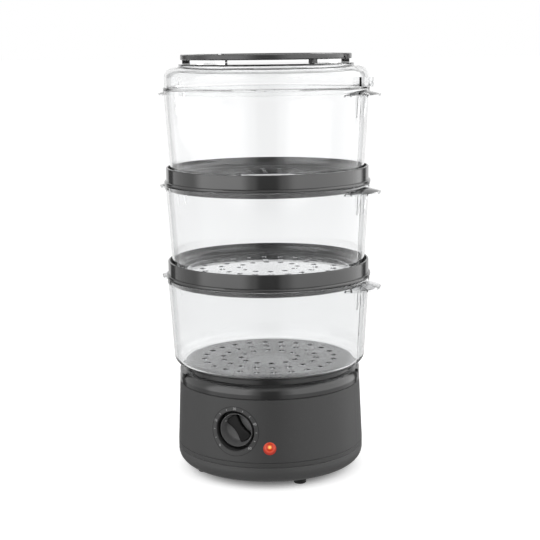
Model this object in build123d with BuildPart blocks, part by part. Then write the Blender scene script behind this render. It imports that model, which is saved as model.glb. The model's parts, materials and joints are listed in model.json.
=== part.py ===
from build123d import *
from math import acos, atan2, cos, degrees, pi, radians, sin, sqrt
import os

# Electric food steamer. A drum base holds a water tank, a ring heater and a sixty minute timer. On it
# stand a drip tray and three clear bowls, with a charcoal spacer ring between bowls, under a clear lid
# with two folding hoop handles. Millimetres. +Z is up, the knob faces -Y, and the origin is on the
# floor under the middle of the drum.

os.makedirs("parts", exist_ok=True)

# ---------------------------------------------------------------------------------------------------
# Driving sizes
# ---------------------------------------------------------------------------------------------------

# Clearances
seat_gap = 0.2            # height left under each piece that lifts off
side_gap = 0.4            # radial room round a spigot that drops into a seat
running_gap = 0.05        # radial room round pegs, shaft and screws

# Feet and base pan
foot_height = 6.0
foot_radius = 5.8
foot_flare = 0.5          # wider at the top of each foot
foot_round = 1.0
foot_circle_radius = 71.0
foot_stem_radius = 3.0
foot_stem_lock = 1.0      # how far each stem stands above the pan floor
pan_height = 17.0
pan_wall = 2.5
pan_corner = 13.0
pan_lip = 4.0             # height of the lip that centres the housing
base_radius = 91.6
seam_depth = 0.6          # depth of the V grooves along the seams
vent_slots = 4
slot_length = 24.0
slot_width = 3.0
slot_pitch = 7.0

# Drum housing
drum_band = 4.6           # upright band under the second groove
drum_height = 65.0
drum_taper = 2.6          # smaller radius at the top of the drum
drum_wall = 2.6
drum_rim = 6.0            # width of the flat rim that carries the drip tray
tank_ledge = 4.5          # width of the ledge that carries the tank
tank_ledge_drop = 5.0     # below the top of the drum
ledge_thickness = 2.5
ledge_round = 2.0

# Screws that hold the pan to the housing
boss_circle_radius = 70.0
boss_radius = 5.0
boss_height = 15.6
boss_roof = 2.0           # plastic left over the end of each screw hole
rib_width = 3.0
rib_overlap = 1.0
screw_radius = 1.6
screw_head_radius = 3.6
screw_head_height = 2.2
screw_length = 12.0
pan_boss_height = 6.0
screw_recess = 4.0
pan_boss_radius = 6.0

# Water tank
tank_gap = 3.5            # round the tank, inside the ledge
timer_gap = 1.4           # between the timer and the flat front of the tank
tank_wall = 2.2
tank_floor_z = 30.0
tank_round = 4.0

# Heating element and its seals
element_ring_radius = 28.0
element_tube_radius = 3.3
element_lift = 10.6       # tube axis above the tank floor
element_gap_angle = 38.0  # half of the open part of the ring
element_elbow = 8.0
element_leg_drop = 12.0   # legs below the tank floor
seal_flange_radius = 7.0
seal_flange = 2.0
seal_body_radius = 5.0
seal_round = 0.8
nut_across_flats = 12.0
nut_height = 4.0

# Steam sleeve round the element
sleeve_bottom_radius = 41.0
sleeve_top_radius = 35.0
sleeve_height = 44.0
sleeve_wall = 1.8
sleeve_round = 1.0
sleeve_arches = 4
arch_width = 15.0
arch_height = 11.0

# Thermostat and thermal fuse, under the tank
thermostat_cap_radius = 8.0
thermostat_cap = 3.0
thermostat_body_radius = 6.4
thermostat_body = 5.0
blade_offset = 3.5
blade_thickness = 0.8
blade_width = 4.0
blade_length = 5.0
fuse_radius = 2.0
fuse_length = 14.0
fuse_round = 0.6
fuse_offset = 16.0
clip_thickness = 0.6
clip_width = 6.0
clip_foot = 3.0

# Timer well, knob and timer
knob_z = 57.0
well_radius = 19.1
well_depth = 17.0
well_wall = 2.2
well_chamfer = 0.7
knob_radius = 16.5
knob_sink = 4.2           # front of the knob behind the front of the drum
knob_back_gap = 0.6
knob_draft = 0.3          # smaller radius at the front of the knob
knob_round = 0.6
knob_rim = 0.6
scoop_depth = 10.2
scoop_draft = 3.2         # how far the bowl of the knob closes in towards its floor
scoop_round = 4.5
grip_waist = 9.8
grip_end = 15.0
grip_scallop = 18.0       # radius of the hollow along each side
grip_sink = 5.2           # front of the grip behind the front of the knob
grip_clearance = 0.2
grip_round = 0.7
grip_turn = 38.0          # lean of the grip, towards the left as seen from the front
timer_width = 35.0
timer_height = 44.0
timer_depth = 13.0
timer_round = 4.0
shaft_radius = 3.0
shaft_hole_radius = 4.5
shaft_grip = 9.0          # how far the shaft reaches into the timer
shaft_flat = 0.9
shaft_socket = 1.4
bell_radius = 14.0
bell_depth = 4.5
bell_wall = 0.9
bell_round = 2.0
bell_post_radius = 2.5
timer_screw_offset = 11.5
timer_screw_radius = 1.5
timer_screw_head = 2.7
timer_screw_length = 8.0
timer_screw_sink = 1.2

# Indicator lamp
lamp_angle = -68.5        # direction from the axis, counted from +X
lamp_z = 42.0
lens_radius = 6.5
lens_stem_radius = 5.8
lens_dome = 2.2
lens_stem = 9.0
lens_bore_radius = 4.4
lens_front = 1.0          # wall in front of the bore
lens_round = 2.0
lamp_radius = 3.0
lamp_round = 2.0
lamp_length = 9.5
lamp_holder = 3.6         # length of the ring that grips the lamp

# Mains inlet
gland_z = 44.0
gland_flange_radius = 9.0
gland_flange = 2.5
gland_taper = 10.0        # degrees
gland_body_radius = 6.0
gland_bore_radius = 3.6
gland_length = 9.0
gland_nut = 3.6
gland_wall_gap = 0.5      # room for the curve of the wall
gland_nut_flats = 15.0
terminal_length = 30.0
terminal_width = 14.0
terminal_height = 12.0
terminal_y = 52.0
terminal_ways = 3
terminal_screw_radius = 1.8
terminal_screw_depth = 2.0

# Drip tray
tray_band = 4.3           # upright band above the seam with the drum
tray_shoulder = 9.0
tray_seat_inset = 6.5     # the bowl seat inside the edge of the drum
tray_seat_wall = 2.5
tray_wall = 1.8
tray_floor_lift = 0.5
tray_skirt = 2.0
tray_tab_height = 11.3
tray_tab_wall = 2.4
tray_tab_inset = 0.3
tray_tab_angle = 34.0
tray_tab_sink = 0.5       # the foot of each lift tab inside the shoulder
tray_turn = 26.5          # direction of the first lift tab
chimney_radius = 24.0
chimney_top_radius = 20.0
chimney_height = 13.0
chimney_round = 2.0
chimney_windows = 8
window_width = 9.0
window_height = 5.0

# Bowls
tier_turn = -4.0          # direction of the handles of the bowls and the lid
bowl_floor_z = 106.3
bowl_height = 84.9
bowl_wall = 1.5
bowl_floor = 2.0
bowl_corner = 8.0
bowl_top_radius = 98.2
bowl_taper = 5.0          # smaller radius at the bottom of the wall
bowl_rim = 0.8            # how far the rim stands out from the wall
bowl_rim_height = 4.5
bowl_rim_round = 0.6
collar_depth = 5.0
collar_wall = 1.8
hole_radius = 3.0
hole_rings = 3
first_hole_radius = 28.0
hole_ring_step = 18.0
holes_in_first_ring = 12
holes_added_per_ring = 6

# Handles moulded on the bowls
lug_radius = 32.0
lug_inset = 14.8          # centre of each fan inside the wall
lug_top_drop = 0.2        # below the top of the rim
lug_height = 6.4
lug_edge = 1.6
lug_wall = 1.6
lug_pockets = 6
lug_rib_angle = 3.0
strut_length = 20.0
strut_width = 1.4
strut_depth = 3.0
strut_foot = 1.0          # how far the lower end reaches into the wall
strut_offset = 7.5

# Spacer rings
tier_pitch = 90.6
ring_bowl_gap = 2.8       # round the bottom of the bowl that stands in a ring
ring_wall = 2.0
ring_bead_reach = 0.8     # beyond the rim of the bowl below
ring_bead = 3.5
ring_bead_round = 1.4
ring_top_round = 1.0
ring_inner_round = 0.4
ring_band_height = 11.1   # band above the ledge that carries the next bowl
ring_ledge = 2.5
ring_skirt = 4.9          # spigot inside the bowl below
spigot_gap = 0.7          # radial room between a spigot and the top of a bowl
spigot_round = 0.5

# Lid
lid_height = 20.5
lid_shoulder = 9.5
lid_crown = 3.1           # height of the raised middle of the lid
lid_crown_inset = 4.2     # its edge inside the end of the shoulder
lid_crown_round = 1.2
lid_wall = 1.6
lid_flange_inset = 0.1    # inside the rim of the bowl below
lid_flange_step = 1.2     # how far the flange stands out from the lid
lid_flange = 2.0
lid_flange_round = 0.6
lid_spigot = 4.2
lid_spigot_wall = 1.5
nub_width = 8.0
nub_reach = 12.0
nub_bottom = 2.0
nub_height = 8.5
vent_radius = 1.8
vent_circle_radius = 20.0
vents = 6

# Folding handles
bail_inset = 6.4          # inside the edge of the flat top of the lid
bail_width = 11.0
bail_thickness = 5.0
bail_lift = 3.8           # underside of the folded handle above the lid
pivot_offset = 5.0        # each pivot axis from the middle of the lid
peg_radius = 1.6
peg_length = 7.4
bumper_angle = 60.0       # from the middle of the handle
bumper_length = 5.5
bumper_width = 7.5
bumper_round = 1.0
bail_round = 1.2
end_gap = 0.5             # past the end of each peg
ear_gap = 1.2             # between each ear and the handles
ear_length = 20.0
ear_width = 20.0
ear_height = 9.0
ear_round = 4.0

# ---------------------------------------------------------------------------------------------------
# Levels and places worked out from them
# ---------------------------------------------------------------------------------------------------

pan_top_z = foot_height + pan_height
groove_z = pan_top_z + drum_band
drum_top_z = pan_top_z + drum_height
drum_top_radius = base_radius - drum_taper
drum_slope = drum_taper / (drum_top_z - groove_z)
drum_opening = drum_top_radius - drum_rim
ledge_top_z = drum_top_z - tank_ledge_drop
tank_floor_top = tank_floor_z + tank_wall
tank_radius = drum_opening - tank_ledge - tank_gap
knob_front_y = -(base_radius - drum_slope * (knob_z - groove_z))
well_floor_y = knob_front_y + well_depth
timer_front_y = well_floor_y + well_wall
timer_back_y = timer_front_y + timer_depth
tank_front = -timer_back_y - bell_depth - timer_gap
tray_z = drum_top_z + seat_gap
tray_floor_z = tray_z + tray_floor_lift
tray_seat_z = bowl_floor_z - seat_gap
tray_seat_radius = drum_top_radius - tray_seat_inset
tray_bore = tray_seat_radius - tray_seat_wall
collar_radius = tray_bore - side_gap
bowl_bottom_radius = bowl_top_radius - bowl_taper
bowl_rim_radius = bowl_top_radius + bowl_rim
spigot_radius = bowl_top_radius - bowl_wall - spigot_gap
ring_band_radius = bowl_bottom_radius + ring_bowl_gap + ring_wall
ring_bead_radius = bowl_rim_radius + ring_bead_reach
lid_flange_radius = bowl_rim_radius - lid_flange_inset
lid_radius = lid_flange_radius - lid_flange_step
bail_radius = lid_radius - lid_shoulder - bail_inset
bail_inner_radius = bail_radius - bail_width
ear_outer_radius = bail_inner_radius - ear_gap
ear_inner_radius = ear_outer_radius - ear_length
ring_seat_z = bowl_floor_z + bowl_height + seat_gap
ring_ledge_top = bowl_floor_z + tier_pitch - seat_gap
lid_z = bowl_floor_z + 2 * tier_pitch + bowl_height + seat_gap
lid_top_z = lid_z + lid_height
lid_crown_z = lid_top_z + lid_crown
lid_crown_radius = lid_radius - lid_shoulder - lid_crown_inset
bail_z = lid_crown_z + bail_lift
pivot_z = bail_z + bail_thickness / 2


def drum_radius(height):
    """Outer radius of the tapered drum wall at a height above the floor."""
    return base_radius - drum_slope * (height - groove_z)


def radial_plane(angle):
    """Upright plane through the Z axis: its x runs outwards at the angle and its y runs up."""
    turn = radians(angle)
    return Plane(origin=(0, 0, 0), x_dir=(cos(turn), sin(turn), 0), z_dir=(sin(turn), -cos(turn), 0))


def wall_plane(angle, height):
    """Plane on the drum wall, square to it: its normal points out of the drum."""
    turn = radians(angle)
    tilt = atan2(drum_slope, 1)
    radius = drum_radius(height)
    normal = (cos(tilt) * cos(turn), cos(tilt) * sin(turn), sin(tilt))
    return Plane(origin=(radius * cos(turn), radius * sin(turn), height),
                 x_dir=(-sin(turn), cos(turn), 0), z_dir=normal)


def front_plane(y):
    """Upright plane across the front: x to the right, y up, and its normal points forwards."""
    return Plane(origin=(0, y, 0), x_dir=(1, 0, 0), z_dir=(0, -1, 0))


def facing_plane(angle):
    """Upright plane through the Z axis that faces outwards at the angle, with its y running up."""
    turn = radians(angle)
    return Plane(origin=(0, 0, 0), x_dir=(-sin(turn), cos(turn), 0), z_dir=(cos(turn), sin(turn), 0))


def outline(*corners):
    """Draw a closed outline through corners given as (x, y, corner radius)."""
    points = [(x, y) for x, y, _ in corners]
    FilletPolyline(*points, radius=[corner for _, _, corner in corners], close=True)


def save(part, label):
    """Label a finished piece and write its STEP file."""
    part.label = label
    export_step(part, f"parts/{label}.step")


# ---------------------------------------------------------------------------------------------------
# Base pan, feet and screws
# ---------------------------------------------------------------------------------------------------

lip_radius = base_radius - drum_wall - side_gap / 2
pan_floor_top = foot_height + pan_wall
pan_boss_top = foot_height + pan_boss_height

with BuildPart() as base_pan:
    with BuildSketch(Plane.XZ):
        with BuildLine():
            outline((0, foot_height, 0),
                    (base_radius, foot_height, pan_corner),
                    (base_radius, pan_top_z - seam_depth, 0),
                    (base_radius - seam_depth, pan_top_z, 0),
                    (lip_radius, pan_top_z, 0),
                    (lip_radius, pan_top_z + pan_lip, 0),
                    (lip_radius - pan_wall, pan_top_z + pan_lip, 0),
                    (lip_radius - pan_wall, pan_floor_top, pan_corner - pan_wall),
                    (0, pan_floor_top, 0))
        make_face()
    revolve(axis=Axis.Z)
    # A boss for each housing screw, with a recess below for its head.
    with BuildSketch(Plane.XY.offset(foot_height)):
        with PolarLocations(boss_circle_radius, 4):
            Circle(pan_boss_radius)
    extrude(amount=pan_boss_height)
    with BuildSketch(Plane.XY.offset(foot_height)):
        with PolarLocations(boss_circle_radius, 4):
            Circle(screw_head_radius + side_gap)
    extrude(amount=screw_recess, mode=Mode.SUBTRACT)
    with BuildSketch(Plane.XY.offset(foot_height)):
        with PolarLocations(boss_circle_radius, 4):
            Circle(screw_radius + side_gap)
        with PolarLocations(foot_circle_radius, 4, start_angle=45):
            Circle(foot_stem_radius + running_gap)
        with GridLocations(0, slot_pitch, 1, vent_slots):
            SlotOverall(slot_length, slot_width)
    extrude(amount=pan_boss_height, mode=Mode.SUBTRACT)
save(base_pan.part, "base_pan")

with BuildPart() as feet:
    with PolarLocations(foot_circle_radius, 4, start_angle=45):
        Cone(foot_radius, foot_radius + foot_flare, foot_height, align=(Align.CENTER, Align.CENTER, Align.MIN))
    with BuildSketch(Plane.XY.offset(foot_height)):
        with PolarLocations(foot_circle_radius, 4, start_angle=45):
            Circle(foot_stem_radius)
    extrude(amount=pan_wall + foot_stem_lock)
    fillet(feet.faces().sort_by(Axis.Z)[:4].edges(), radius=foot_round)
save(feet.part, "feet")

screw_head_z = foot_height + screw_recess - screw_head_height

with BuildPart() as base_screws:
    with BuildSketch(Plane.XY.offset(screw_head_z)):
        with PolarLocations(boss_circle_radius, 4):
            Circle(screw_head_radius)
    extrude(amount=screw_head_height)
    with BuildSketch(Plane.XY.offset(screw_head_z + screw_head_height)):
        with PolarLocations(boss_circle_radius, 4):
            Circle(screw_radius)
    extrude(amount=screw_length)
save(base_screws.part, "base_screws")

# ---------------------------------------------------------------------------------------------------
# Drum housing
# ---------------------------------------------------------------------------------------------------

boss_bottom_z = pan_boss_top + seat_gap
lens_plane = wall_plane(lamp_angle, lamp_z)
gland_plane = wall_plane(90, gland_z)

with BuildPart() as base_housing:
    with BuildSketch(Plane.XZ):
        with BuildLine():
            outline((base_radius - seam_depth, pan_top_z, 0),
                    (base_radius, pan_top_z + seam_depth, 0),
                    (base_radius, groove_z - seam_depth, 0),
                    (base_radius - seam_depth, groove_z, 0),
                    (drum_radius(groove_z + seam_depth), groove_z + seam_depth, 0),
                    (drum_radius(drum_top_z - seam_depth), drum_top_z - seam_depth, 0),
                    (drum_top_radius - seam_depth, drum_top_z, 0),
                    (drum_opening, drum_top_z, 0),
                    (drum_opening, ledge_top_z, 0),
                    (drum_opening - tank_ledge, ledge_top_z, 0),
                    (drum_opening - tank_ledge, ledge_top_z - ledge_thickness, 0),
                    (drum_radius(ledge_top_z) - drum_wall, ledge_top_z - ledge_thickness, ledge_round),
                    (base_radius - drum_wall, groove_z, 0),
                    (base_radius - drum_wall, pan_top_z, 0))
        make_face()
    revolve(axis=Axis.Z)
    # Columns that take the pan screws, each tied to the wall by a rib.
    with BuildSketch(Plane.XY.offset(boss_bottom_z)):
        with PolarLocations(boss_circle_radius, 4):
            Circle(boss_radius)
    extrude(amount=boss_height)
    with BuildSketch(Plane.XY.offset(pan_top_z + pan_lip + seat_gap)):
        with PolarLocations((boss_circle_radius + base_radius - drum_wall) / 2, 4):
            Rectangle(base_radius - drum_wall - boss_circle_radius + rib_overlap, rib_width)
    extrude(amount=boss_bottom_z + boss_height - pan_top_z - pan_lip - seat_gap)
    with BuildSketch(Plane.XY.offset(boss_bottom_z)):
        with PolarLocations(boss_circle_radius, 4):
            Circle(screw_radius + running_gap)
    extrude(amount=boss_height - boss_roof, mode=Mode.SUBTRACT)
    # The round well of the timer knob.
    with BuildSketch(front_plane(timer_front_y)):
        with Locations((0, knob_z)):
            Circle(well_radius + well_wall)
    extrude(until=Until.NEXT)
    with BuildSketch(front_plane(well_floor_y)):
        with Locations((0, knob_z)):
            Circle(well_radius)
    extrude(amount=2 * well_depth, mode=Mode.SUBTRACT)
    well_mouth = base_housing.edges(Select.LAST).sort_by(Axis.Y)[0]
    chamfer(well_mouth, length=well_chamfer)
    with BuildSketch(front_plane(timer_front_y)):
        with Locations((0, knob_z)):
            Circle(shaft_hole_radius)
            with GridLocations(2 * timer_screw_offset, 0, 2, 1):
                Circle(timer_screw_radius + running_gap)
    extrude(amount=well_wall, mode=Mode.SUBTRACT)
    with BuildSketch(front_plane(well_floor_y)):
        with Locations((0, knob_z)):
            with GridLocations(2 * timer_screw_offset, 0, 2, 1):
                Circle(timer_screw_head + running_gap)
    extrude(amount=-timer_screw_sink, mode=Mode.SUBTRACT)
    # Holes for the lens and the mains inlet.
    with BuildSketch(lens_plane):
        Circle(lens_stem_radius + running_gap)
    extrude(amount=2 * drum_wall, both=True, mode=Mode.SUBTRACT)
    with BuildSketch(gland_plane):
        Circle(gland_body_radius + running_gap)
    extrude(amount=2 * drum_wall, both=True, mode=Mode.SUBTRACT)
save(base_housing.part, "base_housing")

# ---------------------------------------------------------------------------------------------------
# Water tank
# ---------------------------------------------------------------------------------------------------

element_z = tank_floor_top + element_lift
half_gap = radians(element_gap_angle)
# The ring is open at the rear. There each end runs on along its tangent and turns down into a leg.
leg_x = element_ring_radius * sin(half_gap) - element_elbow * cos(half_gap)
leg_y = element_ring_radius * cos(half_gap) + element_elbow * sin(half_gap)


def tank_outline(radius, front):
    """Circle with a flat front, drawn in the current sketch."""
    Circle(radius)
    with Locations((0, -front)):
        Rectangle(2 * radius, radius, align=(Align.CENTER, Align.MAX), mode=Mode.SUBTRACT)


with BuildPart() as water_tank:
    with BuildSketch(Plane.XY.offset(tank_floor_z)):
        tank_outline(tank_radius, tank_front)
    extrude(amount=ledge_top_z - tank_floor_z)
    fillet(water_tank.edges().group_by(Axis.Z)[0], radius=tank_round)
    with BuildSketch(Plane.XY.offset(ledge_top_z)):
        Circle(drum_opening - side_gap)
    extrude(amount=tank_wall)
    with BuildSketch(Plane.XY.offset(tank_floor_top)):
        tank_outline(tank_radius - tank_wall, tank_front - tank_wall)
    extrude(amount=ledge_top_z + tank_wall - tank_floor_top, mode=Mode.SUBTRACT)
    with BuildSketch(Plane.XY.offset(tank_floor_z)):
        with Locations((leg_x, leg_y), (-leg_x, leg_y)):
            Circle(seal_body_radius + running_gap)
    extrude(amount=tank_wall, mode=Mode.SUBTRACT)
save(water_tank.part, "water_tank")

# ---------------------------------------------------------------------------------------------------
# Heating element, its seals and nuts
# ---------------------------------------------------------------------------------------------------

element_end = Vector(element_ring_radius * sin(half_gap), element_ring_radius * cos(half_gap), element_z)
elbow_top = Vector(leg_x, leg_y, element_z - element_elbow)
elbow_centre = Vector(element_end.X, element_end.Y, element_z - element_elbow)
elbow_middle = elbow_centre + (element_end + elbow_top - 2 * elbow_centre) / sqrt(2)
leg_bottom = Vector(leg_x, leg_y, tank_floor_z - element_leg_drop)


def mirrored(point):
    """The same point on the other side of the middle plane."""
    return Vector(-point.X, point.Y, point.Z)


with BuildPart() as heating_element:
    with BuildLine() as element_path:
        Line(leg_bottom, elbow_top)
        ThreePointArc(elbow_top, elbow_middle, element_end)
        CenterArc((0, 0, element_z), element_ring_radius, 90 - element_gap_angle,
                  2 * element_gap_angle - 360)
        ThreePointArc(mirrored(element_end), mirrored(elbow_middle), mirrored(elbow_top))
        Line(mirrored(elbow_top), mirrored(leg_bottom))
    with BuildSketch(Plane.XY.offset(leg_bottom.Z)):
        with Locations((leg_x, leg_y)):
            Circle(element_tube_radius)
    sweep(path=element_path.wires()[0])
save(heating_element.part, "heating_element")

with BuildPart() as element_seals:
    with BuildSketch(Plane.XY.offset(tank_floor_z)):
        with Locations((leg_x, leg_y), (-leg_x, leg_y)):
            Circle(seal_body_radius)
    extrude(amount=tank_wall)
    with BuildSketch(Plane.XY.offset(tank_floor_top)):
        with Locations((leg_x, leg_y), (-leg_x, leg_y)):
            Circle(seal_flange_radius)
    extrude(amount=seal_flange)
    fillet(element_seals.edges().group_by(Axis.Z)[-1], radius=seal_round)
    with BuildSketch(Plane.XY.offset(tank_floor_z)):
        with Locations((leg_x, leg_y), (-leg_x, leg_y)):
            Circle(element_tube_radius + running_gap)
    extrude(amount=tank_wall + seal_flange, mode=Mode.SUBTRACT)
save(element_seals.part, "element_seals")

with BuildPart() as element_nuts:
    with BuildSketch(Plane.XY.offset(tank_floor_z - nut_height)):
        with Locations((leg_x, leg_y), (-leg_x, leg_y)):
            RegularPolygon(nut_across_flats / 2, 6, major_radius=False)
            Circle(element_tube_radius + running_gap, mode=Mode.SUBTRACT)
    extrude(amount=nut_height)
save(element_nuts.part, "element_nuts")

# ---------------------------------------------------------------------------------------------------
# Steam sleeve, thermostat and thermal fuse
# ---------------------------------------------------------------------------------------------------

sleeve_z = tank_floor_top + seat_gap

with BuildPart() as steam_sleeve:
    with BuildSketch(Plane.XZ):
        with BuildLine():
            outline((sleeve_bottom_radius, sleeve_z, 0),
                    (sleeve_bottom_radius, sleeve_z + arch_height, 0),
                    (sleeve_top_radius, sleeve_z + sleeve_height, sleeve_round),
                    (sleeve_top_radius - 2 * sleeve_wall, sleeve_z + sleeve_height, 0),
                    (sleeve_top_radius - 2 * sleeve_wall, sleeve_z + sleeve_height - sleeve_wall, 0),
                    (sleeve_top_radius - sleeve_wall, sleeve_z + sleeve_height - sleeve_wall, 0),
                    (sleeve_bottom_radius - sleeve_wall, sleeve_z + arch_height, 0),
                    (sleeve_bottom_radius - sleeve_wall, sleeve_z, 0))
        make_face()
    revolve(axis=Axis.Z)
    # Arches round the foot let the water in to the ring.
    for arch in range(sleeve_arches):
        with BuildSketch(facing_plane(45 + arch * 360 / sleeve_arches)):
            with Locations((0, sleeve_z + arch_height - arch_width / 2)):
                Circle(arch_width / 2)
                Rectangle(arch_width, arch_height, align=(Align.CENTER, Align.MAX))
        extrude(amount=sleeve_bottom_radius + sleeve_wall, mode=Mode.SUBTRACT)
save(steam_sleeve.part, "steam_sleeve")

with BuildPart() as thermostat:
    with BuildSketch(Plane.XY.offset(tank_floor_z - thermostat_cap)):
        Circle(thermostat_cap_radius)
    extrude(amount=thermostat_cap)
    with BuildSketch(Plane.XY.offset(tank_floor_z - thermostat_cap - thermostat_body)):
        Circle(thermostat_body_radius)
    extrude(amount=thermostat_body)
    # Two blade terminals.
    with BuildSketch(Plane.XY.offset(tank_floor_z - thermostat_cap - thermostat_body)):
        with GridLocations(2 * blade_offset, 0, 2, 1):
            Rectangle(blade_thickness, blade_width)
    extrude(amount=-blade_length)
save(thermostat.part, "thermostat")

with BuildPart() as thermal_fuse:
    with BuildSketch(Plane.YZ.offset(-fuse_length / 2)):
        with Locations((-fuse_offset, tank_floor_z - fuse_radius - running_gap)):
            Circle(fuse_radius)
    extrude(amount=fuse_length)
    fillet(thermal_fuse.edges(), radius=fuse_round)
save(thermal_fuse.part, "thermal_fuse")

with BuildPart() as fuse_clip:
    with BuildSketch(Plane.YZ.offset(-clip_width / 2)):
        with Locations((-fuse_offset, tank_floor_z - fuse_radius - running_gap)):
            Circle(fuse_radius + running_gap + clip_thickness)
            Rectangle(2 * (fuse_radius + running_gap + clip_thickness), fuse_radius + running_gap,
                      align=(Align.CENTER, Align.MIN))
            Circle(fuse_radius + running_gap, mode=Mode.SUBTRACT)
            Rectangle(2 * (fuse_radius + running_gap), 2 * fuse_radius,
                      align=(Align.CENTER, Align.MIN), mode=Mode.SUBTRACT)
        with Locations((-fuse_offset, tank_floor_z)):
            Rectangle(2 * fuse_radius, 2 * fuse_radius, align=(Align.CENTER, Align.MIN), mode=Mode.SUBTRACT)
        with Locations((-fuse_offset - fuse_radius - running_gap, tank_floor_z)):
            Rectangle(clip_foot, clip_thickness, align=(Align.MAX, Align.MAX))
        with Locations((-fuse_offset + fuse_radius + running_gap, tank_floor_z)):
            Rectangle(clip_foot, clip_thickness, align=(Align.MIN, Align.MAX))
    extrude(amount=clip_width)
save(fuse_clip.part, "fuse_clip")

# ---------------------------------------------------------------------------------------------------
# Timer knob, shaft and timer
# ---------------------------------------------------------------------------------------------------

knob_back_y = well_floor_y - knob_back_gap
knob_front = knob_front_y + knob_sink
knob_depth = knob_back_y - knob_front
shaft_end_y = timer_front_y + shaft_grip
knob_axis = Axis((0, 0, knob_z), (0, 1, 0))

scoop_floor_y = knob_front + scoop_depth
scoop_radius = knob_radius - knob_draft - knob_rim


def scoop_outline(gap):
    """Outline of the bowl of the knob, this far inside its wall: x from the knob's axis, y along it."""
    outline((0, scoop_floor_y, 0),
            (scoop_radius - scoop_draft - gap, scoop_floor_y, scoop_round),
            (scoop_radius - gap, knob_front, 0),
            (0, knob_front, 0))


with BuildPart() as timer_knob:
    with BuildSketch(Plane.XY.offset(knob_z)):
        with BuildLine():
            outline((0, knob_back_y, 0),
                    (knob_radius, knob_back_y, 0),
                    (knob_radius - knob_draft, knob_front, knob_round),
                    (0, knob_front, 0))
        make_face()
        with BuildLine():
            scoop_outline(0)
        make_face(mode=Mode.SUBTRACT)
    revolve(axis=knob_axis)
    with BuildSketch(front_plane(knob_back_y)):
        with Locations((0, knob_z)):
            Circle(shaft_radius + running_gap)
    extrude(amount=shaft_socket, mode=Mode.SUBTRACT)
save(timer_knob.part, "timer_knob")

# The grip is an hourglass bar that stands in the bowl of the knob and follows its wall at each end.
waist_edge = grip_waist / 2 + grip_scallop

with BuildPart() as knob_grip:
    with BuildSketch(Plane.XY.offset(knob_z)):
        with BuildLine():
            scoop_outline(grip_clearance)
        make_face()
        with Locations((0, knob_front)):
            Rectangle(knob_radius, grip_sink, align=(Align.MIN, Align.MIN), mode=Mode.SUBTRACT)
    revolve(axis=knob_axis)
    with BuildSketch(front_plane(scoop_floor_y)):
        with Locations(Location((0, knob_z), grip_turn)):
            Rectangle(grip_end, 2 * knob_radius)
            with Locations((waist_edge, 0), (-waist_edge, 0)):
                Circle(grip_scallop, mode=Mode.SUBTRACT)
    extrude(amount=scoop_depth, taper=3, mode=Mode.INTERSECT)
    fillet(knob_grip.edges().group_by(Axis.Y)[0], radius=grip_round)
save(knob_grip.part, "knob_grip")

with BuildPart() as timer_shaft:
    with BuildSketch(front_plane(shaft_end_y)):
        with Locations((0, knob_z)):
            Circle(shaft_radius)
    extrude(amount=shaft_end_y - knob_back_y + shaft_socket)
    with BuildSketch(front_plane(knob_back_y - running_gap)):
        with Locations((0, knob_z + shaft_radius - shaft_flat)):
            Rectangle(2 * shaft_radius, shaft_radius, align=(Align.CENTER, Align.MIN))
    extrude(amount=shaft_socket, mode=Mode.SUBTRACT)
save(timer_shaft.part, "timer_shaft")

with BuildPart() as timer_body:
    with BuildSketch(front_plane(timer_back_y)):
        with Locations((0, knob_z)):
            RectangleRounded(timer_width, timer_height, timer_round)
    extrude(amount=timer_depth)
    with BuildSketch(front_plane(timer_front_y)):
        with Locations((0, knob_z)):
            Circle(shaft_radius + running_gap)
    extrude(amount=-shaft_grip - seat_gap, mode=Mode.SUBTRACT)
    with BuildSketch(front_plane(timer_front_y)):
        with Locations((0, knob_z)):
            with GridLocations(2 * timer_screw_offset, 0, 2, 1):
                Circle(timer_screw_radius + running_gap)
    extrude(amount=-timer_screw_length, mode=Mode.SUBTRACT)
save(timer_body.part, "timer_body")

with BuildPart() as timer_bell:
    with BuildSketch(front_plane(timer_back_y)):
        with Locations((0, knob_z)):
            Circle(bell_radius)
    extrude(amount=-bell_depth)
    fillet(timer_bell.edges().group_by(Axis.Y)[-1], radius=bell_round)
    with BuildSketch(front_plane(timer_back_y)):
        with Locations((0, knob_z)):
            Circle(bell_radius - bell_wall)
            Circle(bell_post_radius, mode=Mode.SUBTRACT)
    extrude(amount=-bell_depth + bell_wall, mode=Mode.SUBTRACT)
save(timer_bell.part, "timer_bell")

with BuildPart() as timer_screws:
    with BuildSketch(front_plane(well_floor_y + timer_screw_sink)):
        with Locations((0, knob_z)):
            with GridLocations(2 * timer_screw_offset, 0, 2, 1):
                Circle(timer_screw_head)
    extrude(amount=timer_screw_sink)
    with BuildSketch(front_plane(well_floor_y + timer_screw_sink)):
        with Locations((0, knob_z)):
            with GridLocations(2 * timer_screw_offset, 0, 2, 1):
                Circle(timer_screw_radius)
    extrude(amount=-timer_screw_length)
save(timer_screws.part, "timer_screws")

# ---------------------------------------------------------------------------------------------------
# Indicator lamp
# ---------------------------------------------------------------------------------------------------

with BuildPart() as indicator_lens:
    with BuildSketch(lens_plane.offset(running_gap)):
        Circle(lens_radius)
    extrude(amount=lens_dome)
    fillet(indicator_lens.edges().sort_by(Axis(lens_plane.origin, lens_plane.z_dir))[-1], radius=lens_round)
    with BuildSketch(lens_plane.offset(running_gap)):
        Circle(lens_stem_radius)
    extrude(amount=-lens_stem)
    with BuildSketch(lens_plane.offset(running_gap - lens_stem)):
        Circle(lens_bore_radius)
    extrude(amount=lens_stem - lens_front, mode=Mode.SUBTRACT)
save(indicator_lens.part, "indicator_lens")

lamp_back = running_gap - lens_stem - lamp_holder

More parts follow.
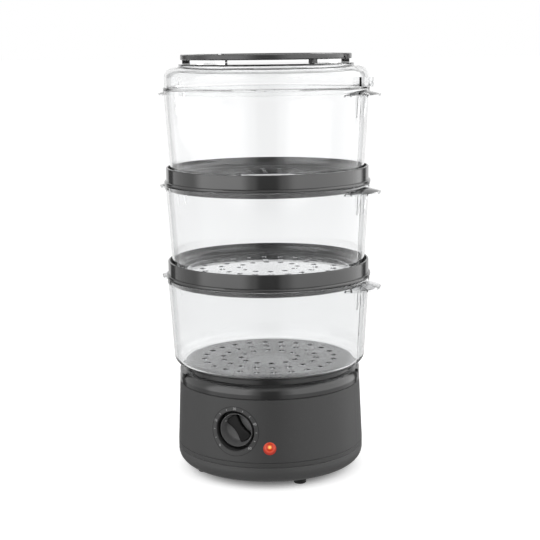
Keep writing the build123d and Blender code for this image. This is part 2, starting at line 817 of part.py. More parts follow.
with BuildPart() as lamp_holder_ring:
    with BuildSketch(lens_plane.offset(lamp_back)):
        Circle(lens_stem_radius)
        Circle(lamp_radius + running_gap, mode=Mode.SUBTRACT)
    extrude(amount=lamp_holder)
save(lamp_holder_ring.part, "lamp_holder")

with BuildPart() as neon_lamp:
    with BuildSketch(lens_plane.offset(lamp_back)):
        Circle(lamp_radius)
    extrude(amount=lamp_length)
    fillet(neon_lamp.edges().sort_by(Axis(lens_plane.origin, lens_plane.z_dir))[-1], radius=lamp_round)
save(neon_lamp.part, "neon_lamp")

# ---------------------------------------------------------------------------------------------------
# Mains inlet and terminal block
# ---------------------------------------------------------------------------------------------------

gland_back = drum_wall + gland_wall_gap

with BuildPart() as cord_gland:
    with BuildSketch(gland_plane.offset(gland_wall_gap)):
        Circle(gland_flange_radius)
    extrude(amount=gland_flange, taper=gland_taper)
    with BuildSketch(gland_plane.offset(gland_wall_gap)):
        Circle(gland_body_radius)
    extrude(amount=-gland_length)
    with BuildSketch(gland_plane.offset(gland_wall_gap + gland_flange)):
        Circle(gland_bore_radius)
    extrude(amount=-gland_length - gland_flange, mode=Mode.SUBTRACT)
save(cord_gland.part, "cord_gland")

with BuildPart() as gland_nut_ring:
    with BuildSketch(gland_plane.offset(-gland_back)):
        RegularPolygon(gland_nut_flats / 2, 6, major_radius=False)
        Circle(gland_body_radius + running_gap, mode=Mode.SUBTRACT)
    extrude(amount=-gland_nut)
save(gland_nut_ring.part, "gland_nut")

way_pitch = terminal_length / terminal_ways

with BuildPart() as terminal_block:
    with BuildSketch(Plane.XY.offset(pan_floor_top)):
        with Locations((0, terminal_y)):
            Rectangle(terminal_length, terminal_width)
    extrude(amount=terminal_height)
    with BuildSketch(Plane.XY.offset(pan_floor_top + terminal_height)):
        with Locations((0, terminal_y)):
            with GridLocations(way_pitch, terminal_width / 2, terminal_ways, 2):
                Circle(terminal_screw_radius)
    extrude(amount=-terminal_screw_depth, mode=Mode.SUBTRACT)
    with BuildSketch(Plane.XZ.offset(-terminal_y - terminal_width / 2)):
        with Locations((0, pan_floor_top + terminal_height / 3)):
            with GridLocations(way_pitch, 0, terminal_ways, 1):
                Circle(terminal_screw_radius)
    extrude(amount=terminal_width, mode=Mode.SUBTRACT)
save(terminal_block.part, "terminal_block")

# ---------------------------------------------------------------------------------------------------
# Drip tray
# ---------------------------------------------------------------------------------------------------

shoulder_x = drum_top_radius - tray_shoulder
shoulder_z = tray_z + tray_band
skirt_radius = drum_opening - side_gap
inner_shoulder = tray_shoulder - tray_wall
outer_arc = degrees(acos((tray_seat_radius - shoulder_x) / tray_shoulder))
inner_arc = degrees(acos((skirt_radius - shoulder_x) / inner_shoulder))
tray_floor_top = tray_floor_z + tray_wall
tray_tab_top_z = tray_z + tray_tab_height
chimney_top_z = tray_floor_top + chimney_height

with BuildPart() as drip_tray:
    with BuildSketch(Plane.XZ):
        with BuildLine() as tray_line:
            cavity = CenterArc((shoulder_x, shoulder_z), inner_shoulder, 0, inner_arc)
            crown = CenterArc((shoulder_x, shoulder_z), tray_shoulder, 0, outer_arc)
            Polyline(cavity @ 0, (drum_top_radius - tray_wall, tray_z),
                     (drum_top_radius - seam_depth, tray_z),
                     (drum_top_radius, tray_z + seam_depth), crown @ 0)
            Polyline(crown @ 1, (tray_seat_radius, tray_seat_z), (tray_bore, tray_seat_z),
                     (tray_bore, tray_floor_top), (0, tray_floor_top), (0, tray_floor_z),
                     (skirt_radius - tray_wall, tray_floor_z),
                     (skirt_radius - tray_wall, tray_z - tray_skirt),
                     (skirt_radius, tray_z - tray_skirt), cavity @ 1)
        make_face()
    revolve(axis=Axis.Z)
    # Two tabs on the shoulder, to lift the tray by.
    for turn in (tray_turn, tray_turn + 180):
        with BuildSketch(radial_plane(turn - tray_tab_angle / 2)):
            with Locations((drum_top_radius - tray_tab_inset, shoulder_z - tray_tab_sink)):
                Rectangle(tray_tab_wall, tray_tab_top_z - shoulder_z + tray_tab_sink,
                          align=(Align.MAX, Align.MIN))
        revolve(axis=Axis.Z, revolution_arc=tray_tab_angle)
    # A roofed chimney lets the steam up and keeps the drips out of the tank.
    with BuildSketch(Plane.XZ):
        with BuildLine():
            outline((0, tray_floor_z, 0), (chimney_radius, tray_floor_z, 0),
                    (chimney_top_radius, chimney_top_z, chimney_round), (0, chimney_top_z, 0))
        make_face()
    revolve(axis=Axis.Z)
    with BuildSketch(Plane.XZ):
        with BuildLine():
            outline((0, tray_floor_z, 0), (chimney_radius - tray_wall, tray_floor_z, 0),
                    (chimney_top_radius - tray_wall, chimney_top_z - tray_wall, chimney_round / 2),
                    (0, chimney_top_z - tray_wall, 0))
        make_face()
    revolve(axis=Axis.Z, mode=Mode.SUBTRACT)
    for window in range(chimney_windows):
        with BuildSketch(facing_plane(window * 360 / chimney_windows)):
            with Locations((0, chimney_top_z - 2 * tray_wall)):
                Rectangle(window_width, window_height, align=(Align.CENTER, Align.MAX))
        extrude(amount=chimney_radius + tray_wall, mode=Mode.SUBTRACT)
save(drip_tray.part, "drip_tray")

# ---------------------------------------------------------------------------------------------------
# Bowls
# ---------------------------------------------------------------------------------------------------

bowl_rim_z = bowl_floor_z + bowl_height
under_rim_z = bowl_rim_z - bowl_rim_height
lug_x = bowl_top_radius - lug_inset
lug_top_z = bowl_rim_z - lug_top_drop
lug_low_z = lug_top_z - lug_height
lug_edge_z = lug_low_z + lug_edge
pocket_angle = 180 / lug_pockets - lug_rib_angle


def lug_plane(side, angle):
    """Upright plane through the middle of a lug, turned from the direction that points away."""
    turn = radians(angle) + (0 if side > 0 else pi)
    return Plane(origin=(side * lug_x, 0, 0), x_dir=(cos(turn), sin(turn), 0),
                 z_dir=(sin(turn), -cos(turn), 0))


with BuildPart() as bowl:
    for side in (1, -1):
        # A shallow dome for the hand, with a thin edge.
        with BuildSketch(lug_plane(side, 0)):
            with BuildLine():
                dome = TangentArc((0, lug_top_z), (lug_radius, lug_edge_z), tangent=(1, 0))
                Polyline(dome @ 1, (lug_radius, lug_low_z), (0, lug_low_z), dome @ 0)
            make_face()
        revolve(axis=Axis((side * lug_x, 0, 0), (0, 0, 1)))
        # Sector pockets under the dome leave a fan of ribs.
        for pocket in range(lug_pockets):
            start = -90 + lug_rib_angle / 2 + pocket * 180 / lug_pockets
            with BuildSketch(lug_plane(side, start)):
                with BuildLine():
                    roof = TangentArc((0, lug_top_z - lug_wall),
                                      (lug_radius - lug_wall, lug_edge_z - lug_wall / 4), tangent=(1, 0))
                    Polyline(roof @ 1, (lug_radius - lug_wall, lug_low_z), (0, lug_low_z), roof @ 0)
                make_face()
            revolve(axis=Axis((side * lug_x, 0, 0), (0, 0, 1)), revolution_arc=pocket_angle,
                    mode=Mode.SUBTRACT)
        # Two struts run down the wall under it.
        for offset in (strut_offset, -strut_offset):
            with BuildSketch(Plane.XZ.offset(offset - strut_width / 2)):
                with BuildLine():
                    Polyline((side * (bowl_top_radius + strut_depth), lug_low_z),
                             (side * (bowl_top_radius - strut_depth), lug_low_z),
                             (side * (bowl_top_radius - strut_depth), lug_low_z - strut_length),
                             (side * (bowl_top_radius - strut_foot), lug_low_z - strut_length), close=True)
                make_face()
            extrude(amount=strut_width)
    with BuildSketch(Plane.XZ):
        with BuildLine():
            outline((0, bowl_floor_z, 0),
                    (bowl_bottom_radius, bowl_floor_z, bowl_corner),
                    (bowl_top_radius, under_rim_z, 0),
                    (bowl_rim_radius, under_rim_z, 0),
                    (bowl_rim_radius, bowl_rim_z, bowl_rim_round),
                    (0, bowl_rim_z, 0))
        make_face()
    revolve(axis=Axis.Z)
    # The inside follows the tapered wall.
    with BuildSketch(Plane.XZ):
        with BuildLine():
            outline((0, bowl_floor_z + bowl_floor, 0),
                    (bowl_bottom_radius - bowl_wall, bowl_floor_z + bowl_floor, bowl_corner - bowl_wall),
                    (bowl_top_radius - bowl_wall, bowl_rim_z, 0),
                    (0, bowl_rim_z, 0))
        make_face()
    revolve(axis=Axis.Z, mode=Mode.SUBTRACT)
    # A collar below the floor centres the bowl on what it stands on.
    with BuildSketch(Plane.XY.offset(bowl_floor_z)):
        Circle(collar_radius)
        Circle(collar_radius - collar_wall, mode=Mode.SUBTRACT)
    extrude(amount=-collar_depth)
    with BuildSketch(Plane.XY.offset(bowl_floor_z)):
        for ring in range(hole_rings):
            with PolarLocations(first_hole_radius + ring * hole_ring_step,
                                holes_in_first_ring + ring * holes_added_per_ring):
                Circle(hole_radius)
    extrude(amount=bowl_floor, mode=Mode.SUBTRACT)

for tier in range(3):
    place = Location((0, 0, tier * tier_pitch), (0, 0, tier_turn))
    save(bowl.part.moved(place), f"bowl_{tier + 1}")

# ---------------------------------------------------------------------------------------------------
# Spacer rings
# ---------------------------------------------------------------------------------------------------

ring_bead_z = ring_seat_z + ring_bead
ring_top_z = ring_ledge_top + ring_band_height

with BuildPart() as spacer_ring:
    with BuildSketch(Plane.XZ):
        with BuildLine():
            outline((tray_bore, ring_ledge_top - ring_ledge, 0),
                    (spigot_radius - ring_wall, ring_ledge_top - ring_ledge, 0),
                    (spigot_radius - ring_wall, ring_seat_z - ring_skirt, 0),
                    (spigot_radius, ring_seat_z - ring_skirt, spigot_round),
                    (spigot_radius, ring_seat_z, 0),
                    (ring_bead_radius, ring_seat_z, ring_bead_round),
                    (ring_bead_radius, ring_bead_z, ring_bead_round),
                    (ring_band_radius, ring_bead_z, 0),
                    (ring_band_radius, ring_top_z, ring_top_round),
                    (ring_band_radius - ring_wall, ring_top_z, ring_inner_round),
                    (ring_band_radius - ring_wall, ring_ledge_top, 0),
                    (tray_bore, ring_ledge_top, 0))
        make_face()
    revolve(axis=Axis.Z)

for tier in range(2):
    place = Location((0, 0, tier * tier_pitch), (0, 0, tier_turn))
    save(spacer_ring.part.moved(place), f"ring_{tier + 2}")

# ---------------------------------------------------------------------------------------------------
# Lid
# ---------------------------------------------------------------------------------------------------

lid_turn = Location((0, 0, 0), (0, 0, tier_turn))
bore_depth = peg_length - ear_gap + end_gap

with BuildPart() as lid:
    with BuildSketch(Plane.XZ):
        with BuildLine():
            outline((0, lid_z - lid_spigot, 0),
                    (spigot_radius, lid_z - lid_spigot, spigot_round),
                    (spigot_radius, lid_z, 0),
                    (lid_flange_radius, lid_z, 0),
                    (lid_flange_radius, lid_z + lid_flange, lid_flange_round),
                    (lid_radius, lid_z + lid_flange, 0),
                    (lid_radius, lid_top_z, lid_shoulder),
                    (lid_crown_radius, lid_top_z, lid_crown_round),
                    (lid_crown_radius, lid_crown_z, lid_crown_round),
                    (0, lid_crown_z, 0))
        make_face()
    revolve(axis=Axis.Z)
    for side in (1, -1):
        with BuildSketch(Plane.XY.offset(lid_z + nub_bottom)):
            with Locations((side * (lid_radius - lid_wall), 0)):
                SlotOverall(2 * (nub_reach + lid_wall), nub_width)
        extrude(amount=nub_height)
    with BuildSketch(Plane.XZ):
        with BuildLine():
            outline((0, lid_z - lid_spigot, 0),
                    (spigot_radius - lid_spigot_wall, lid_z - lid_spigot, 0),
                    (spigot_radius - lid_spigot_wall, lid_z, 0),
                    (lid_radius - lid_wall, lid_z + lid_flange, 0),
                    (lid_radius - lid_wall, lid_top_z - lid_wall, lid_shoulder - lid_wall),
                    (lid_crown_radius - lid_wall, lid_top_z - lid_wall, 0),
                    (lid_crown_radius - lid_wall, lid_crown_z - lid_wall, 0),
                    (0, lid_crown_z - lid_wall, 0))
        make_face()
    revolve(axis=Axis.Z, mode=Mode.SUBTRACT)
    # Two ears carry the pivots of both handles.
    for plane, length in ((Plane.YZ.offset(ear_outer_radius), -ear_length),
                          (Plane.YZ.offset(-ear_outer_radius), ear_length)):
        with BuildSketch(plane):
            with BuildLine():
                outline((-ear_width / 2, lid_crown_z, 0), (ear_width / 2, lid_crown_z, 0),
                        (ear_width / 2, lid_crown_z + ear_height, ear_round),
                        (-ear_width / 2, lid_crown_z + ear_height, ear_round))
            make_face()
        extrude(amount=length)
    for plane, depth in ((Plane.YZ.offset(ear_outer_radius), -bore_depth),
                         (Plane.YZ.offset(-ear_outer_radius), bore_depth)):
        with BuildSketch(plane):
            with Locations((0, pivot_z)):
                with GridLocations(2 * pivot_offset, 0, 2, 1):
                    Circle(peg_radius + running_gap)
        extrude(amount=depth, mode=Mode.SUBTRACT)
    # Steam vents.
    with BuildSketch(Plane.XY.offset(lid_crown_z)):
        with PolarLocations(vent_circle_radius, vents):
            Circle(vent_radius)
    extrude(amount=-lid_wall, mode=Mode.SUBTRACT)
save(lid.part.moved(lid_turn), "lid")

# ---------------------------------------------------------------------------------------------------
# Folding handles
# ---------------------------------------------------------------------------------------------------

bail_middle_radius = bail_radius - bail_width / 2

with BuildPart() as bail:
    with BuildSketch(Plane.XY.offset(bail_z)):
        Circle(bail_radius)
        Circle(bail_inner_radius, mode=Mode.SUBTRACT)
        with Locations((0, -pivot_offset)):
            Rectangle(2 * bail_radius, 2 * bail_radius, align=(Align.CENTER, Align.MIN), mode=Mode.SUBTRACT)
    extrude(amount=bail_thickness)
    fillet(bail.edges().filter_by(GeomType.CIRCLE), radius=bail_round)
    # Rounded ends round the pivots.
    with BuildSketch(Plane.YZ.offset(-bail_radius + end_gap)):
        with Locations((-pivot_offset, pivot_z)):
            Circle(bail_thickness / 2)
    extrude(amount=bail_width - end_gap)
    with BuildSketch(Plane.YZ.offset(bail_inner_radius)):
        with Locations((-pivot_offset, pivot_z)):
            Circle(bail_thickness / 2)
    extrude(amount=bail_width - end_gap)
    # Pegs that snap into the ears.
    with BuildSketch(Plane.YZ.offset(-bail_inner_radius)):
        with Locations((-pivot_offset, pivot_z)):
            Circle(peg_radius)
    extrude(amount=peg_length)
    with BuildSketch(Plane.YZ.offset(bail_inner_radius)):
        with Locations((-pivot_offset, pivot_z)):
            Circle(peg_radius)
    extrude(amount=-peg_length)
    # Bumpers that rest on the lid.
    for angle in (270 - bumper_angle, 270 + bumper_angle):
        with BuildSketch(Plane.XY.offset(lid_crown_z + seat_gap)):
            with PolarLocations(bail_middle_radius, 1, start_angle=angle):
                RectangleRounded(bumper_width, bumper_length, bumper_round)
        extrude(amount=bail_lift - seat_gap + bail_thickness / 2)

save(bail.part.moved(lid_turn), "front_bail")
save(bail.part.moved(Location((0, 0, 0), (0, 0, tier_turn + 180))), "rear_bail")
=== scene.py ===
"""Finishes and fine parts for an electric food steamer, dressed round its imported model.

Lengths are in metres. +Z is up, the timer knob faces -Y, and the origin is on the floor under the
middle of the drum.
"""

from __future__ import annotations

import json
import logging
from dataclasses import dataclass, field
from enum import Enum
from functools import cache
from math import cos, degrees, pi, radians, sin, tan
from typing import Any

import bmesh
import bpy
import numpy as np
from mathutils import Matrix, Vector

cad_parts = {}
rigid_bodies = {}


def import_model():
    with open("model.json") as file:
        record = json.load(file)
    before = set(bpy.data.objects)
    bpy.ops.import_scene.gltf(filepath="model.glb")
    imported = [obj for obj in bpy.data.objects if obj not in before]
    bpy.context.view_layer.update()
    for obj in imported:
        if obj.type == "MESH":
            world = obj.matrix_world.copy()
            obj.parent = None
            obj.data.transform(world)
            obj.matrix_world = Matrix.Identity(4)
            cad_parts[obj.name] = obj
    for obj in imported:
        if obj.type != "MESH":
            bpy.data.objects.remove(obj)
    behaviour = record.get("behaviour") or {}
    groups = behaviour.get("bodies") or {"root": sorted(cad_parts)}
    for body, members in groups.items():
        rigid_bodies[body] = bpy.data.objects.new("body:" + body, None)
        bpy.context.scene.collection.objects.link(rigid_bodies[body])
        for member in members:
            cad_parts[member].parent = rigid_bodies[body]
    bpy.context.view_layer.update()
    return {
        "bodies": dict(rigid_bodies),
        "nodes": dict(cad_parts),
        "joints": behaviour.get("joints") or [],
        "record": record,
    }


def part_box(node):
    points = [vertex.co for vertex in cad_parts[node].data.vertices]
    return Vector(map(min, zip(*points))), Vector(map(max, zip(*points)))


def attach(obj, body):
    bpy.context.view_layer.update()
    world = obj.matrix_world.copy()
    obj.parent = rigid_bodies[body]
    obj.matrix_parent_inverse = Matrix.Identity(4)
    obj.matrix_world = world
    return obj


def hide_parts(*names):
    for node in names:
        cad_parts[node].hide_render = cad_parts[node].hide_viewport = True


log = logging.getLogger("steamer")

Color = tuple[float, float, float, float]
MM = 0.001
NEARLY_ZERO = 1e-6


def gray(level: float) -> Color:
    """A neutral colour, as a linear share of white."""
    return (level, level, level, 1.0)


# ---- Shader building


class NodeSheet:
    """A small wrapper that adds and links the nodes of one node tree."""

    def __init__(self, tree: bpy.types.NodeTree) -> None:
        """Take over a node tree.

        Args:
            tree: the material's, world's or group's node tree; its nodes are cleared.
        """
        self.tree = tree
        tree.nodes.clear()

    def add(self, kind: str, label: str = "", **values: Any) -> bpy.types.Node:
        """Add a node.

        Args:
            kind: the node's type name.
            label: a label that says what the node is for.
            values: node properties, or input sockets written with underscores for spaces.

        Returns:
            The new node.
        """
        node = self.tree.nodes.new(kind)
        node.label = label
        for key, value in values.items():
            if hasattr(node, key):
                setattr(node, key, value)
            else:
                node.inputs[key.replace("_", " ")].default_value = value
        return node

    def link(self, source: bpy.types.NodeSocket, target: bpy.types.NodeSocket) -> None:
        """Link an output socket to an input socket."""
        self.tree.links.new(source, target)

    def math(self, operation: str, *values: Any, label: str = "", clamp: bool = False) -> Any:
        """Add a Math node.

        Args:
            operation: the Math node's operation.
            values: numbers or output sockets, in order.
            label: what the result is.
            clamp: keep the result between 0 and 1.

        Returns:
            The output socket.
        """
        node = self.add("ShaderNodeMath", label, operation=operation, use_clamp=clamp)
        for socket, value in zip(node.inputs, values):
            if isinstance(value, (int, float)):
                socket.default_value = value
            else:
                self.link(value, socket)
        return node.outputs[0]

    def ramp(self, value: Any, start: float, end: float, low: float = 0.0, high: float = 1.0,
             label: str = "") -> Any:
        """Carry a value smoothly from low at start to high at end.

        Args:
            value: the output socket to read.
            start: where the change starts.
            end: where it ends.
            low: the result up to the start.
            high: the result past the end.
            label: what the result is.

        Returns:
            The output socket.
        """
        node = self.add("ShaderNodeMapRange", label, interpolation_type="SMOOTHSTEP", From_Min=start,
                        From_Max=end, To_Min=low, To_Max=high)
        self.link(value, node.inputs["Value"])
        return node.outputs["Result"]

    def span(self, value: Any, low: float, high: float, soft: float, label: str = "") -> Any:
        """One between low and high and nought outside, with soft sides.

        Args:
            value: the output socket to read.
            low: the middle of the rising side.
            high: the middle of the falling side.
            soft: half the width of each side.
            label: what the result is.

        Returns:
            The output socket.
        """
        rise = self.ramp(value, low - soft, low + soft, label=f"{label} rise")
        fall = self.ramp(value, high - soft, high + soft, 1.0, 0.0, label=f"{label} fall")
        return self.math("MULTIPLY", rise, fall, label=label)


def new_group(name: str, inputs: dict[str, float], outputs: tuple[str, ...]) -> bpy.types.NodeTree:
    """Make an empty shader node group that has a Color input.

    Args:
        name: the group's name.
        inputs: its number inputs and their usual values.
        outputs: its outputs; Color is a colour, Normal a direction, and the rest are numbers.

    Returns:
        The group.
    """
    group = bpy.data.node_groups.new(name, "ShaderNodeTree")
    group.interface.new_socket("Color", in_out="INPUT", socket_type="NodeSocketColor")
    for socket, value in inputs.items():
        made = group.interface.new_socket(socket, in_out="INPUT", socket_type="NodeSocketFloat")
        made.default_value = value
    kinds = {"Color": "NodeSocketColor", "Normal": "NodeSocketVector"}
    for socket in outputs:
        group.interface.new_socket(socket, in_out="OUTPUT", socket_type=kinds.get(socket, "NodeSocketFloat"))
    return group


class SkinSheet(NodeSheet):
    """The node tree of a surface group, from Object coordinates to Color, Roughness and Normal."""

    def __init__(self, name: str, values: dict[str, float]) -> None:
        """Make the group.

        Args:
            name: the group's name.
            values: its number inputs and their usual values.
        """
        self.group = new_group(name, values, ("Color", "Roughness", "Normal"))
        super().__init__(self.group)
        self.given = self.add("NodeGroupInput").outputs
        self.result = self.add("NodeGroupOutput").inputs
        self.place = self.add("ShaderNodeTexCoord").outputs["Object"]

    def noise(self, label: str, size: Any, place: Any = None, **values: Any) -> Any:
        """Add a noise over the surface.

        Args:
            label: what the noise stands for.
            size: its scale, as a number or an output socket.
            place: where to read it; the Object coordinates unless given.
            values: the noise's other values.

        Returns:
            The output socket.
        """
        node = self.add("ShaderNodeTexNoise", label, **values)
        self.link(self.place if place is None else place, node.inputs["Vector"])
        if isinstance(size, float):
            node.inputs["Scale"].default_value = size
        else:
            self.link(size, node.inputs["Scale"])
        return node.outputs["Fac"]

    def tinted(self, label: str, factor: Any) -> Any:
        """The group's Color times a factor.

        Args:
            label: what the result is.
            factor: the output socket that holds the factor.

        Returns:
            The output socket.
        """
        node = self.add("ShaderNodeVectorMath", label, operation="SCALE")
        self.link(self.given["Color"], node.inputs[0])
        self.link(factor, node.inputs["Scale"])
        return node.outputs[0]

    def relief(self, label: str, height: Any, depth: Any, distance: float) -> None:
        """Give a height as the group's Normal.

        Args:
            label: what the relief is.
            height: the output socket that holds the height.
            depth: the output socket that holds the strength.
            distance: the height of the relief at full strength.
        """
        node = self.add("ShaderNodeBump", label, Distance=distance)
        self.link(depth, node.inputs["Strength"])
        self.link(height, node.inputs["Height"])
        self.link(node.outputs["Normal"], self.result["Normal"])


@cache
def moulded_skin() -> bpy.types.NodeTree:
    """Node group for a moulded part: spark-eroded grain, slow flow marks and a little dust.

    Returns:
        The group, which varies colour and gloss with the flow marks and gives the grain as a normal.
    """
    values = {"Roughness": 0.4, "Grain Size": 1500.0, "Grain Depth": 0.1, "Variation": 0.1, "Dust": 0.0}
    sheet = SkinSheet("Moulded Skin", values)
    given = sheet.given
    grain = sheet.noise("spark-eroded grain", given["Grain Size"], Detail=3.0, Roughness=0.65)
    flow = sheet.noise("flow marks", size=22.0, Detail=2.0)
    swing = sheet.math("SUBTRACT", flow, 0.5, label="flow about zero")
    grit = sheet.math("SUBTRACT", grain, 0.5, label="grain about zero")
    amount = sheet.math("MULTIPLY", sheet.math("ADD", swing, grit), given["Variation"], label="change")
    tint = sheet.tinted("shaded colour", sheet.math("ADD", 1.0, amount, label="brightness"))
    specks = sheet.noise("dust specks", size=420.0, Detail=1.0)
    specks = sheet.ramp(specks, start=0.62, end=0.8, label="specks")
    dusty = sheet.math("MULTIPLY", specks, given["Dust"])
    dust = sheet.add("ShaderNodeMix", "dust over colour", data_type="RGBA")
    sheet.link(dusty, dust.inputs["Factor"])
    sheet.link(tint, dust.inputs["A"])
    dust.inputs["B"].default_value = gray(0.3)
    sheet.link(dust.outputs["Result"], sheet.result["Color"])
    gloss = sheet.math("ADD", given["Roughness"], sheet.math("MULTIPLY", swing, given["Variation"]))
    sheet.link(sheet.math("ADD", gloss, dusty, label="gloss", clamp=True), sheet.result["Roughness"])
    sheet.relief("grain relief", grain, given["Grain Depth"], distance=0.04 * MM)
    return sheet.group


@cache
def clear_skin() -> bpy.types.NodeTree:
    """Node group for clear plastic: a slow waviness, and smears where hands have been.

    Returns:
        The group, which gives a faintly uneven colour, the gloss and a normal.
    """
    values = {"Roughness": 0.01, "Wave Size": 30.0, "Wave Depth": 0.05, "Smear": 0.02}
    sheet = SkinSheet("Clear Skin", values)
    given = sheet.given
    wave = sheet.noise("waves in the wall", given["Wave Size"], Detail=1.0)
    smears = sheet.noise("smears", size=9.0, Detail=4.0)
    smears = sheet.ramp(smears, start=0.5, end=0.75, label="patches")
    patch = sheet.math("MULTIPLY", smears, given["Smear"])
    sheet.link(sheet.math("ADD", given["Roughness"], patch, label="gloss"), sheet.result["Roughness"])
    cloud = sheet.math("SUBTRACT", 1.0, patch, label="cloud")
    sheet.link(sheet.tinted("wall colour", cloud), sheet.result["Color"])
    sheet.relief("wave relief", wave, given["Wave Depth"], distance=0.2 * MM)
    return sheet.group


@cache
def drawn_metal() -> bpy.types.NodeTree:
    """Node group for drawn or brushed metal: fine streaks along one way, and dulled patches.

    Returns:
        The group, which varies colour and gloss and gives the streaks as a normal.
    """
    values = {"Roughness": 0.3, "Streak Size": 900.0, "Streak Depth": 0.2, "Patches": 0.2}
    sheet = SkinSheet("Drawn Metal", values)
    given = sheet.given
    stretch = sheet.add("ShaderNodeMapping", "stretch along the grain", Scale=(0.06, 0.06, 1.0))
    sheet.link(sheet.place, stretch.inputs["Vector"])
    streaks = sheet.noise("streaks", given["Streak Size"], stretch.outputs["Vector"], Detail=2.0)
    dull = sheet.noise("dulled patches", size=60.0, Detail=3.0)
    swing = sheet.math("MULTIPLY", sheet.math("SUBTRACT", dull, 0.5), given["Patches"])
    bright = sheet.math("SUBTRACT", 1.0, swing, label="brightness")
    sheet.link(sheet.tinted("patched colour", bright), sheet.result["Color"])
    gloss = sheet.math("ADD", given["Roughness"], swing, label="gloss", clamp=True)
    sheet.link(gloss, sheet.result["Roughness"])
    sheet.relief("streak relief", streaks, given["Streak Depth"], distance=0.03 * MM)
    return sheet.group


# ---- Finishes


class Skin(Enum):
    """How a mould's surface was made: the grain's scale and depth, and how much the tone varies."""

    SPARKED = (1500.0, 0.12, 0.10)
    SATIN = (2200.0, 0.05, 0.06)
    POLISHED = (90.0, 0.02, 0.04)
    RUBBED = (900.0, 0.30, 0.16)


class Finish:
    """A named material, built once and shared."""

    name: str

    def build(self, sheet: NodeSheet, output: bpy.types.Node) -> None:
        """Add the shader nodes and link them to the material's output.

        Args:
            sheet: the material's node sheet.
            output: the material's output node.
        """
        raise NotImplementedError

    def material(self) -> bpy.types.Material:
        """The finish's material, built on first use.

        Returns:
            The material.
        """
        found = bpy.data.materials.get(self.name)
        if found is not None:
            return found
        made = bpy.data.materials.new(self.name)
        made.use_nodes = True
        sheet = NodeSheet(made.node_tree)
        self.build(sheet, sheet.add("ShaderNodeOutputMaterial"))
        return made

    def shader(self, sheet: NodeSheet, output: bpy.types.Node, group: bpy.types.NodeTree,
               given: dict[str, Any], **values: Any) -> bpy.types.Node:
        """Put a surface group in front of a Principled shader.

        Args:
            sheet: the material's node sheet.
            output: the material's output node.
            group: the surface group, with Color, Roughness and Normal outputs.
            given: the group's inputs.
            values: the shader's own values.

        Returns:
            The shader node.
        """
        skin = sheet.add("ShaderNodeGroup", group.name, node_tree=group)
        for key, value in given.items():
            skin.inputs[key].default_value = value
        made = sheet.add("ShaderNodeBsdfPrincipled", self.name, **values)
        sheet.link(skin.outputs["Color"], made.inputs["Base Color"])
        sheet.link(skin.outputs["Roughness"], made.inputs["Roughness"])
        sheet.link(skin.outputs["Normal"], made.inputs["Normal"])
        sheet.link(made.outputs[0], output.inputs["Surface"])
        return made


@dataclass(frozen=True)
class MouldedPlastic(Finish):
    """Opaque moulded plastic, rubber or ceramic."""

    name: str
    color: Color
    roughness: float = 0.4
    specular: float = 0.5
    skin: Skin = Skin.SPARKED
    dust: float = 0.0

    def build(self, sheet: NodeSheet, output: bpy.types.Node) -> None:
        """Principled shader behind the moulded skin group.

        Args:
            sheet: the material's node sheet.
            output: the material's output node.
        """
        size, depth, variation = self.skin.value
        given = {"Color": self.color, "Roughness": self.roughness, "Grain Size": size, "Grain Depth": depth,
                 "Variation": variation, "Dust": self.dust}
        self.shader(sheet, output, moulded_skin(), given, Specular_IOR_Level=self.specular)


@dataclass(frozen=True)
class Metal(Finish):
    """Bare metal with drawing streaks."""

    name: str
    color: Color
    roughness: float = 0.3
    streak: float = 900.0
    depth: float = 0.2
    patches: float = 0.2

    def build(self, sheet: NodeSheet, output: bpy.types.Node) -> None:
        """Principled metal behind the drawn metal group.

        Args:
            sheet: the material's node sheet.
            output: the material's output node.
        """
        given = {"Color": self.color, "Roughness": self.roughness, "Streak Size": self.streak,
                 "Streak Depth": self.depth, "Patches": self.patches}
        self.shader(sheet, output, drawn_metal(), given, Metallic=1.0)


@dataclass(frozen=True)
class ClearPlastic(Finish):
    """Clear moulded plastic that lets light through to what is inside it.

    The mirror is the gray that tints its reflections, and the shadow the share of the light it stops.
    """

    name: str
    color: Color
    roughness: float = 0.005
    ior: float = 1.49
    mirror: float = 0.55
    shadow: float = 0.1

    def build(self, sheet: NodeSheet, output: bpy.types.Node) -> None:
        """Principled glass, thinned for shadow rays so that the light still reaches the inside.

        Args:
            sheet: the material's node sheet.
            output: the material's output node.
        """
        given = {"Color": self.color, "Roughness": self.roughness, "Wave Size": 26.0, "Wave Depth": 0.05,
                 "Smear": 0.012}
        shader = self.shader(sheet, output, clear_skin(), given, IOR=self.ior,
                             Specular_Tint=gray(self.mirror), Transmission_Weight=1.0)
        path = sheet.add("ShaderNodeLightPath")
        passed = sheet.math("MULTIPLY", path.outputs["Is Shadow Ray"], 1.0 - self.shadow, label="let through")
        sheet.link(sheet.math("SUBTRACT", 1.0, passed, label="kept"), shader.inputs["Alpha"])


